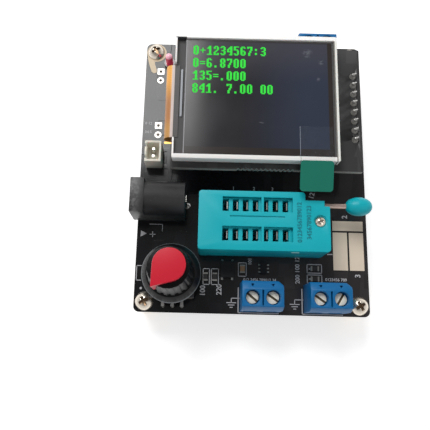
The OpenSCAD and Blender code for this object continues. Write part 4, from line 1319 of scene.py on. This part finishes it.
@dataclass
class MainBoard:
    """The black board with its printing, lands and corner ring."""

    ring_place: Flat = (2.95, 75.1)
    ring_radius: float = 2.85
    ring_t: float = 0.06
    tail_t: float = 0.05
    screw_place: Flat = (2.8, 75.2)
    screw_gap_r: float = 1.6
    ring_tail: tuple[Flat, ...] = (
        (0.4, 74.6), (0.4, 73.2), (0.95, 71.0), (1.7, 69.0), (2.3, 68.55), (3.1, 68.8),
        (3.15, 69.6), (2.6, 71.2), (2.4, 72.8), (1.3, 73.6),
    )
    blocks: tuple[Flat, ...] = ((28.0, 0.3), (44.9, 0.3))
    earths: tuple[Flat, ...] = ((25.8, 2.95), (42.55, 2.9))
    boxes: tuple[tuple[float, float, float, float], ...] = (
        (18.2, 7.6, 19.9, 11.8), (20.4, 7.6, 22.3, 11.8), (46.0, 11.3, 49.9, 13.6),
        (46.0, 8.6, 49.9, 10.8), (27.6, 10.0, 29.7, 13.6),
    )
    triangles: tuple[tuple[Flat, ...], ...] = (
        ((46.3, 12.4), (47.1, 11.95), (47.1, 12.85)), ((46.3, 9.7), (47.1, 9.25), (47.1, 10.15)),
        ((1.0, 20.1), (2.6, 21.0), (1.0, 21.8)),
    )
    legend: tuple[Figures, ...] = (
        Figures("100", 1.9, (18.2, 5.9), 90), Figures("220", 1.9, (22.55, 6.3), 90),
        Figures("101", 1.3, (30.7, 14.0), 90), Figures("200 100 12", 1.6, (43.45, 12.0), 90),
        Figures("012 3456 789012 34", 1.05, (33.3, 9.1)), Figures("0123456 789", 1.1, (53.7, 9.6)),
        Figures("12", 1.9, (47.7, 32.7), 75), Figures("2", 2.0, (56.6, 26.9), 90),
        Figures("3", 2.0, (59.6, 10.8), 90), Figures("1", 2.0, (52.3, 16.45), 90),
        Figures("1", 1.3, (26.0, 34.3)), Figures("2", 1.3, (31.7, 34.3)),
        Figures("3", 1.3, (36.8, 34.3)), Figures("0 12", 1.1, (1.6, 52.9)),
        Figures("34 5", 1.1, (1.6, 50.3)),
    )
    strokes: tuple[tuple[float, tuple[tuple[float, float, float, float], ...]], ...] = (
        (0.7, ((3.3, 23.6, 6.8, 23.6), (6.8, 23.6, 6.8, 21.7))),
        (1, ((0.4, 8.3, 1.6, 8.3), (0.4, 8.3, 0.4, 12.2), (0.4, 12.2, 1.6, 12.2))),
        (1, ((3.5, 20.8, 4.9, 20.8), (4.2, 20.1, 4.2, 21.5))),
    )
    dot: Flat = (1.74, 6.2)
    dot_radius: float = 0.32
    land_x: float = 4.4
    land_z: float = 0.115
    lands: tuple[tuple[float, bool], ...] = (
        (49.5, False), (52.3, True), (66.3, False), (69.1, True)
    )
    land_w: float = 1.94
    land_hole_r: float = 0.47
    coat_t: float = 0.03
    gold_size: Flat = (2.1, 0.62)
    gold_place: Place = (7.3, 47.2, 0.02)
    gold_step: float = 1.1

    def build(self) -> None:
        """Builds the board's printing and its tinned ring."""
        dress("main_board", MASK)
        dress("tinned_pads", TIN)
        dress("solder_joints", SOLDER)
        self.printing()
        self.ring()
        self.bright_lands()
        self.edge_lands()

    def printing(self) -> None:
        """Prints the outlines, marks and plain numbers."""
        ink = Ink()
        for x, y in self.blocks:
            left, low = x - 0.38, y + 0.1
            ink.strokes(1.2, (left, low, left, 6.9), (left, low, x + 10.2, low))
        for place in self.earths:
            ink.earth(*place)
        for box in self.boxes:
            ink.frame(*box)
        for share, lines in self.strokes:
            ink.strokes(share, *lines)
        ink.parts += [figures.build(PRINT_LIFT, ink.height) for figures in self.legend]
        ink.parts += [ink.patch(points) for points in self.triangles]
        dot = on_board(*self.dot, ink.height / 2 + PRINT_LIFT)
        ink.parts.append(Bench.disc(self.dot_radius, ink.height, dot, 20))
        Bench.hand_over(Bench.join(ink.parts), "board_legend", INK, Slot.MASK)

    def ring(self) -> None:
        """Makes the tinned ring round the rear left screw and the run of tin below it."""
        middle = on_board(*self.ring_place, PRINT_LIFT + self.ring_t / 2)
        piece = Bench.disc(self.ring_radius, self.ring_t, middle, 56)
        Bench.cut(piece, Bench.disc(self.screw_gap_r, 2.0, on_board(*self.screw_place)))
        tail = Ink().patch(self.ring_tail, self.tail_t)
        Bench.bevel(piece, width=0.02, segments=1)
        Bench.hand_over(Bench.join([piece, tail]), "corner_ring", RING, Slot.TIN)

    def bright_lands(self) -> None:
        """Lays a bright coat of tin on the four open lands at the left edge."""
        parts = []
        for y, square in self.lands:
            place = on_board(self.land_x, y, self.land_z)
            if square:
                coat = Bench.block((self.land_w, self.land_w, self.coat_t), place)
            else:
                coat = Bench.disc(self.land_w / 2, self.coat_t, place)
            Bench.cut(coat, Bench.disc(self.land_hole_r, 1.0, place, 28))
            parts.append(coat)
        piece = Bench.join(parts)
        Bench.bevel(piece, width=0.012, segments=1)
        Bench.hand_over(piece, "bright_lands", LANDS, Slot.TIN)

    def edge_lands(self) -> None:
        """Lays the small gold lands that show below the ribbon's end."""
        x, y, z = self.gold_place
        places = [on_board(x, y + i * self.gold_step, z) for i in range(3)]
        piece = Bench.join([Bench.block((*self.gold_size, self.coat_t), p) for p in places])
        Bench.bevel(piece, width=0.01, segments=1)
        Bench.hand_over(piece, "gold_lands", GOLD, Slot.TIN)


@dataclass
class CornerHardware:
    """The corner screws and the spacers below them."""

    def build(self) -> None:
        """Rounds the edges of both."""
        refined("board_screws", "pan_screws", CORNER_HEAD, Slot.NICKEL, width=0.06)
        refined("board_standoffs", "hex_spacers", BRASS, Slot.BRASS, width=0.15)


class Ends(Enum):
    """The kinds of metal on a small part."""

    LEADS = "leads"
    CAPS = "caps"


@dataclass
class SmallParts:
    """Chips, resistors, capacitors, the crystal and the lamp on the main board."""

    cap_length: float = 0.42
    touch: float = 0.01

    def build(self) -> None:
        """Dresses the small parts."""
        dress("microcontroller", FLAT_PACK)
        dress("regulator", REGULATOR)
        self.tinned("small_chips", "small_packages", EPOXY, Slot.EPOXY, Ends.LEADS)
        self.tinned("chip_resistors", "resistor_chips", RESISTOR, Slot.EPOXY, Ends.CAPS)
        self.tinned("chip_capacitors", "capacitor_chips", CERAMIC, Slot.CERAMIC, Ends.CAPS)
        dress("crystal", CAN)
        dress("power_led", LENS)

    def tinned(self, node: str, name: str, finish: Finish, slot: Slot, ends: Ends) -> None:
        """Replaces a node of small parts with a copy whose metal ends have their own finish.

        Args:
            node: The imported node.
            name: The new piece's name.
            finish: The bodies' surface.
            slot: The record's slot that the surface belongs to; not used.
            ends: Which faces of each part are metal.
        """
        piece = Bench.copy_node(node)
        for surface in (finish, DULL_TIN):
            piece.data.materials.append(surface.material())
        with Bench.editing(piece) as mesh:
            for part in Bench.islands(mesh):
                for face in self.metal_faces(part, ends):
                    face.material_index = 1
            bmesh.update_edit_mesh(piece.data)
        Bench.bevel(piece, width=0.04, segments=1)
        Bench.smooth(piece)
        Bench.hand_over(piece, name, finish, slot, stands_for=node)

    def metal_faces(self, part: list[bmesh.types.BMFace], ends: Ends) -> list[bmesh.types.BMFace]:
        """Finds the metal faces of one small part.

        Args:
            part: The part's faces.
            ends: Whether its metal is leads beside the body or caps on its ends.

        Returns:
            The faces that are metal.
        """
        touch = self.touch * MM
        corners = [v.co for face in part for v in face.verts]
        top = max(co.z for co in corners)
        lid = [co for co in corners if ends is Ends.CAPS or co.z > top - touch]
        low, high = (Vector([pick(co[i] for co in lid) for i in range(2)]) for pick in (min, max))
        middle, half = (low + high) / 2, (high - low) / 2
        away = {face: face.calc_center_median().xy - middle for face in part}
        if ends is Ends.LEADS:
            return [f for f in part if any(abs(away[f][i]) > half[i] + touch for i in (0, 1))]
        axis = 0 if half.x > half.y else 1
        return [f for f in part if abs(away[f][axis]) > half[axis] - self.cap_length * MM]


@dataclass
class PowerInlets:
    """The round inlet at the left edge and the two-pin battery socket behind it."""

    def build(self) -> None:
        """Rounds the housings and dresses the contacts."""
        refined("dc_jack_body", "round_inlet", BLACK, Slot.BLACK, width=0.15, flatten=False)
        dress("dc_jack_contacts", PINS)
        refined("battery_socket", "battery_inlet", NYLON, Slot.NYLON, width=0.12)
        dress("battery_socket_pins", PINS)


# ---- Display ---------------------------------------------------------------

GLYPHS = {
    "0": ".###.|##.##|##.##|##.##|##.##|##.##|##.##|##.##|.###.",
    "1": "..##.|.###.|####.|..##.|..##.|..##.|..##.|..##.|#####",
    "2": ".###.|##.##|##.##|...##|..##.|.##..|##...|##.##|#####",
    "3": ".###.|##.##|...##|...##|.###.|...##|...##|##.##|.###.",
    "4": "...##|..###|.####|##.##|##.##|#####|...##|...##|..###",
    "5": "#####|##...|##...|####.|...##|...##|...##|##.##|.###.",
    "6": ".###.|##.##|##...|##...|####.|##.##|##.##|##.##|.###.",
    "7": "#####|##.##|...##|...##|..##.|..##.|.##..|.##..|.##..",
    "8": ".###.|##.##|##.##|##.##|.###.|##.##|##.##|##.##|.###.",
    "+": ".....|.....|..#..|..#..|#####|..#..|..#..|.....|.....",
    "=": ".....|.....|.....|#####|.....|#####|.....|.....|.....",
    ":": ".....|.....|.##..|.##..|.....|.....|.##..|.##..|.....",
    ".": ".....|.....|.....|.....|.....|.....|.....|.##..|.##..",
}


@dataclass
class DisplayModule:
    """The display on its board, with ribbon, pull tab, film and rear joints."""

    rows: tuple[str, ...] = ("0+1234567:3", "0=6.8700", "135=.000", "841. 7.00 00")
    row_top: float = 68.6
    row_step: float = 3.59
    text_left: float = 14.25
    text_low: float = 15.302
    text_t: float = 0.02
    advance: float = 1.755
    dot: Flat = (0.28, 0.29)
    first_pin: Flat = (56.5, 44.41)
    pin_count: int = 8
    tip_size: Place = (1.5, 0.46, 1.3)
    tip_offset: Place = (0.1, 0.2, 13.3)
    tip_turn: float = 24.0
    tip_taper: Place = (0.82, 0.6, 1)
    drill_place: Place = (26.5, 35.72, 11.8)
    drill_radius: float = 0.33
    drill_step: float = 1.15
    drill_count: int = 13
    film_low: float = 15.32

    def build(self) -> None:
        """Builds the display from its board up."""
        thin = {"width": 0.04, "segments": 1}
        strip = {"width": 0.1, "segments": 1, "flatten": False}
        self.carrier()
        dress("display_tape", FOAM)
        refined("backlight_frame", "light_frame", WHITE, Slot.WHITE, width=0.08, flatten=False)
        refined("lcd_glass", "glass_cell", GLASS, Slot.GLASS, **thin)
        refined("polariser", "screen_sheet", SCREEN, Slot.POLARISER, **thin)
        refined("driver_chip", "glass_driver", SILICON, Slot.SILICON, width=0.05, segments=1)
        dress("flex_cable", FLEX)
        self.clear_sheet()
        refined("pull_tab", "pull_tab_sheet", TAB, Slot.TAB, width=0.05, segments=1)
        refined("display_socket", "socket_strip", BLACK, Slot.BLACK, **strip)
        refined("display_header", "header_strip", BLACK, Slot.BLACK, **strip)
        dress("display_pins", DULL_TIN)
        self.pin_tips()
        self.readout()

    def carrier(self) -> None:
        """Makes the module's board, with the broken-out tabs along its front edge."""
        piece = Bench.copy_node("display_board", flatten=False)
        x, y, z = self.drill_place
        places = [on_board(x + i * self.drill_step, y, z) for i in range(self.drill_count)]
        drills = [Bench.disc(self.drill_radius, 4.0, place, 16) for place in places]
        Bench.cut(piece, Bench.join(drills))
        Bench.smooth(piece)
        Bench.hand_over(
            piece, "module_board", MODULE_MASK, Slot.MASK, stands_for="display_board"
        )

    def clear_sheet(self) -> None:
        """Makes the pull tab's clear film, a hair above the screen."""
        piece = Bench.copy_node("screen_film")
        low = on_board(0, 0, self.film_low).z
        for vertex in piece.data.vertices:
            vertex.co.z = max(vertex.co.z, low)
        Bench.hand_over(piece, "clear_sheet", FILM, Slot.FILM, stands_for="screen_film")

    def pin_tips(self) -> None:
        """Lays the trimmed pin tips over the header's joints, each drawn out to one side."""
        (x, y), (off_x, off_y, z) = self.first_pin, self.tip_offset
        made = []
        for i in range(self.pin_count):
            place = on_board(x + off_x, y + i * PITCH + off_y, z)
            tip = Bench.block(self.tip_size, place, self.tip_turn)
            with Bench.editing(tip) as mesh:
                for vertex in mesh.verts:
                    vertex.select_set(vertex.co.z > 0)
                mesh.select_flush(True)
                bpy.ops.transform.resize(value=self.tip_taper)
            Bench.bevel(tip, width=0.16, segments=3)
            made.append(tip)
        piece = Bench.join(made)
        Bench.smooth(piece)
        Bench.hand_over(piece, "header_tips", SOLDER, Slot.SOLDER)

    def glyph(self, sign: str) -> bpy.types.Object:
        """Makes one figure of the readout from a grid of square dots.

        Args:
            sign: A key of GLYPHS.

        Returns:
            The thin mesh, its lower left corner at the origin.
        """
        lines = GLYPHS[sign].split("|")
        columns, count = len(lines[0]), len(lines)
        size = (columns * self.dot[0] * MM, count * self.dot[1] * MM, 1)
        Bench.take()
        bpy.ops.mesh.primitive_grid_add(
            x_subdivisions=columns, y_subdivisions=count, size=1, location=(0.5, 0.5, 0)
        )
        piece = bpy.context.object
        bpy.ops.object.transform_apply(location=True, rotation=True, scale=True)
        with Bench.editing(piece) as mesh:
            for face in mesh.faces:
                middle = face.calc_center_median()
                line = lines[count - 1 - int(middle.y * count)]
                face.select_set(line[int(middle.x * columns)] == ".")
            bmesh.update_edit_mesh(piece.data)
            bpy.ops.mesh.delete(type="FACE")
            bpy.ops.mesh.select_all(action="SELECT")
            bpy.ops.transform.resize(value=size, center_override=(0, 0, 0))
            Bench.thicken(self.text_t)
        return piece

    def readout(self) -> None:
        """Sets the green figures on the screen."""
        made = {sign: self.glyph(sign) for sign in GLYPHS}
        tall = len(GLYPHS["0"].split("|")) * self.dot[1]
        parts = []
        for i, row in enumerate(self.rows):
            low = self.row_top - i * self.row_step - tall
            for j, sign in enumerate(row):
                if sign == " ":
                    continue
                part = placed("figure", made[sign].data.copy())
                corner = on_board(self.text_left + j * self.advance, low, self.text_low)
                part.data.transform(Matrix.Translation(corner))
                parts.append(part)
        for pattern in made.values():
            bpy.data.objects.remove(pattern)
        Bench.hand_over(Bench.join(parts), "screen_figures", READOUT, Slot.POLARISER)


# ---- Test socket -----------------------------------------------------------


@dataclass
class TestSocket:
    """The lever socket for parts under test."""

    marks: tuple[Figures, ...] = (
        Figures("0123456789012", 1.6, (42.2, 22.7), 90),
        Figures("34567890123", 1.6, (44.6, 22.7), 90),
    )
    mark_low: float = 11.09
    mark_t: float = 0.06
    # Size and place of the painted highlight strip.
    highlight_size: Place = (2.0, 0.12, 0.22)
    highlight_place: Place = (41.3, 15.26, 9.0)

    def build(self) -> None:
        """Builds the socket's mouldings, contacts, screw and lever."""
        slider = Body.SLIDER.value
        for part in ("base", "cover"):
            refined(f"zif_{part}", f"socket_{part}", TEAL, Slot.TEAL, flatten=False)
        self.cover_marks()
        refined("zif_slider", "socket_slider", TEAL, Slot.TEAL, slider, 0.06, flatten=False)
        refined("zif_contacts", "socket_contacts", PINS, Slot.PINS, width=0.04, segments=1)
        refined("zif_screw", "socket_screw", NICKEL, Slot.NICKEL, width=0.06)
        dress("zif_lever_rod", ROD)
        self.lever_knob()

    def cover_marks(self) -> None:
        """Sets the two columns of moulded figures on the cover and, on its front, a thin pale strip
        that glows a little as a painted highlight.
        """
        made = [mark.build(self.mark_low, self.mark_t) for mark in self.marks]
        Bench.hand_over(Bench.join(made), "socket_figures", DEEP_TEAL, Slot.TEAL)
        highlight = Bench.block(self.highlight_size, on_board(*self.highlight_place))
        Bench.bevel(highlight, width=0.03, segments=1)
        Bench.hand_over(highlight, "socket_highlight_strip", HIGHLIGHT_STRIP, Slot.TEAL)

    def lever_knob(self) -> None:
        """Smooths the oval knob."""
        lever, node = Body.LEVER.value, "zif_lever_knob"
        piece = Bench.copy_node(node)
        Bench.smooth(piece, 50)
        Bench.hand_over(piece, "lever_knob", TEAL, Slot.TEAL, lever, node)


# ---- Encoder and knob ------------------------------------------------------


@dataclass
class EncoderKnob:
    """The push-and-turn encoder with its fluted knob and red pointer."""

    def build(self) -> None:
        """Builds the encoder, then the knob over it."""
        knob = Body.KNOB.value
        dress("encoder_base", LAMINATE)
        refined("encoder_case", "encoder_shell", DARK_ZINC, Slot.ZINC, width=0.1, flatten=False)
        dress("encoder_pins", SOLDER)
        dress("switch_dome", SPRING)
        dress("encoder_plunger", NYLON)
        dress("encoder_shaft", ZINC)
        refined("knob_body", "knob_grip", GLOSS_BLACK, Slot.GLOSS_BLACK, knob, 0.18, 3)
        refined("knob_pointer", "knob_marker", RED, Slot.RED, knob, 0.42, 4)


# ---- Screw terminals -------------------------------------------------------


@dataclass
class ScrewTerminals:
    """Three blue blocks of two screw clamps each."""

    sides: tuple[str, ...] = ("left", "right", "rear")
    count: int = 6

    def build(self) -> None:
        """Builds the blocks, their screws and the cages below them."""
        for side in self.sides:
            node, name = f"terminal_block_{side}", f"clamp_block_{side}"
            refined(node, name, BLUE, Slot.BLUE, width=0.1, flatten=False)
        dress("terminal_pins", PINS)
        for i in range(1, self.count + 1):
            node, name = f"terminal_screw_{i}", f"clamp_screw_{i}"
            refined(node, name, SCREW, Slot.SCREW, f"screw_{i}", width=0.08)
            dress(f"clamp_cage_{i}", BRASS)


# ---- Stage -----------------------------------------------------------------


@dataclass
class Stage:
    """The camera, the lamps, the floor and the world."""

    camera_place: Place = (-0.0124145, -0.0439802, 0.1479861)
    camera_turn: Place = (-0.219402912, 0.00412726365, -0.0244286553)
    lens: float = 42.775
    shift: Flat = (0.017646, 0.0090937)
    clip: Flat = (0.005, 10.0)
    floor_grey: float = 0.8
    floor_glow: float = 0.55
    sky: Colour = (0.42, 0.42, 0.43)
    sky_mirrored: tuple[float, ...] = (0.25, 0.9, 0.9, 0.22)

    def camera(self) -> None:
        """Sets the camera over the front edge, looking down."""
        data = bpy.data.cameras.new("view")
        data.lens = self.lens
        data.sensor_width = 36.0
        data.shift_x, data.shift_y = self.shift
        data.clip_start, data.clip_end = self.clip
        axis = Vector(self.camera_turn)
        turn = Quaternion(axis.normalized(), axis.length).to_matrix().transposed()
        camera = placed("view", data)
        camera.matrix_world = Matrix.Translation(self.camera_place) @ turn.to_4x4()
        bpy.context.scene.camera = camera

    def lamp(self, name: str, place: Place, size: Flat, watts: float, aimed: bool = False) -> None:
        """Hangs a soft rectangular lamp.

        Args:
            name: The lamp's name.
            place: Its middle.
            size: Its two sides in metres.
            watts: Its power.
            aimed: Whether it faces the part's foot, and not straight down.
        """
        data = bpy.data.lights.new(name, "AREA")
        data.shape = "RECTANGLE"
        data.size, data.size_y = size
        data.energy = watts
        lamp = placed(name, data)
        lamp.location = place
        if aimed:
            lamp.rotation_euler = (-Vector(place)).to_track_quat("-Z", "Y").to_euler()

    def floor(self) -> None:
        """Lays a pale floor that stays white to the camera and keeps the soft shadow."""
        Bench.take()
        bpy.ops.mesh.primitive_plane_add(size=4, location=(0, 0, 0))
        piece = bpy.context.object
        piece.name = "floor"
        made = bpy.data.materials.new("pale_floor")
        w = Wiring(fresh_nodes(made))
        path = w.add("ShaderNodeLightPath").outputs
        seen = w.calc("MAXIMUM", path["Is Camera Ray"], path["Is Glossy Ray"])
        seen = w.calc("MAXIMUM", seen, path["Is Transmission Ray"])
        sheet = w.add("ShaderNodeBsdfPrincipled", {
            "Base Color": (self.floor_grey, self.floor_grey, self.floor_grey, 1),
            "Roughness": 0.9,
            "Specular IOR Level": 0.0,
            "Emission Color": (1, 1, 1, 1),
            "Emission Strength": w.times(seen, self.floor_glow),
        })
        w.add("ShaderNodeOutputMaterial", {"Surface": sheet.outputs[0]})
        piece.data.materials.append(made)

    def world(self) -> None:
        """Makes the world white to the camera, soft as a light and dim overhead when mirrored."""
        world = bpy.data.worlds.new("studio")
        bpy.context.scene.world = world
        w = Wiring(fresh_nodes(world))
        path = w.add("ShaderNodeLightPath").outputs
        up = w.split(w.add("ShaderNodeTexCoord").outputs["Generated"])["Z"]
        mirrored = w.grey(w.span(up, *self.sky_mirrored))
        level = w.mix(path["Is Glossy Ray"], self.sky, mirrored)
        seen = w.calc("MAXIMUM", path["Is Camera Ray"], path["Is Transmission Ray"])
        level = w.mix(seen, level, (1.0, 1.0, 1.0))
        back = w.add("ShaderNodeBackground", {"Color": level, "Strength": 1.0})
        w.add("ShaderNodeOutputWorld", {"Surface": back.outputs[0]})

    def build(self) -> None:
        """Sets everything apart from the camera."""
        self.lamp("window", (-0.19, 0.335, 0.5), (0.32, 0.33), 3.0)
        self.lamp("fill", (0.35, -0.25, 0.55), (0.4, 0.4), 0.25, aimed=True)
        self.floor()
        self.world()
        bpy.context.scene.view_settings.view_transform = "Standard"


def main() -> None:
    """Builds every sub-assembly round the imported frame."""
    logging.basicConfig(level=logging.INFO, format="%(name)s: %(message)s")
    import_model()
    stage = Stage()
    stage.camera()
    for assembly in (
        MainBoard, CornerHardware, SmallParts, PowerInlets, DisplayModule, TestSocket,
        EncoderKnob, ScrewTerminals,
    ):
        LOG.info("building %s", assembly.__name__)
        assembly().build()
    stage.build()


if __name__ == "__main__":
    main()
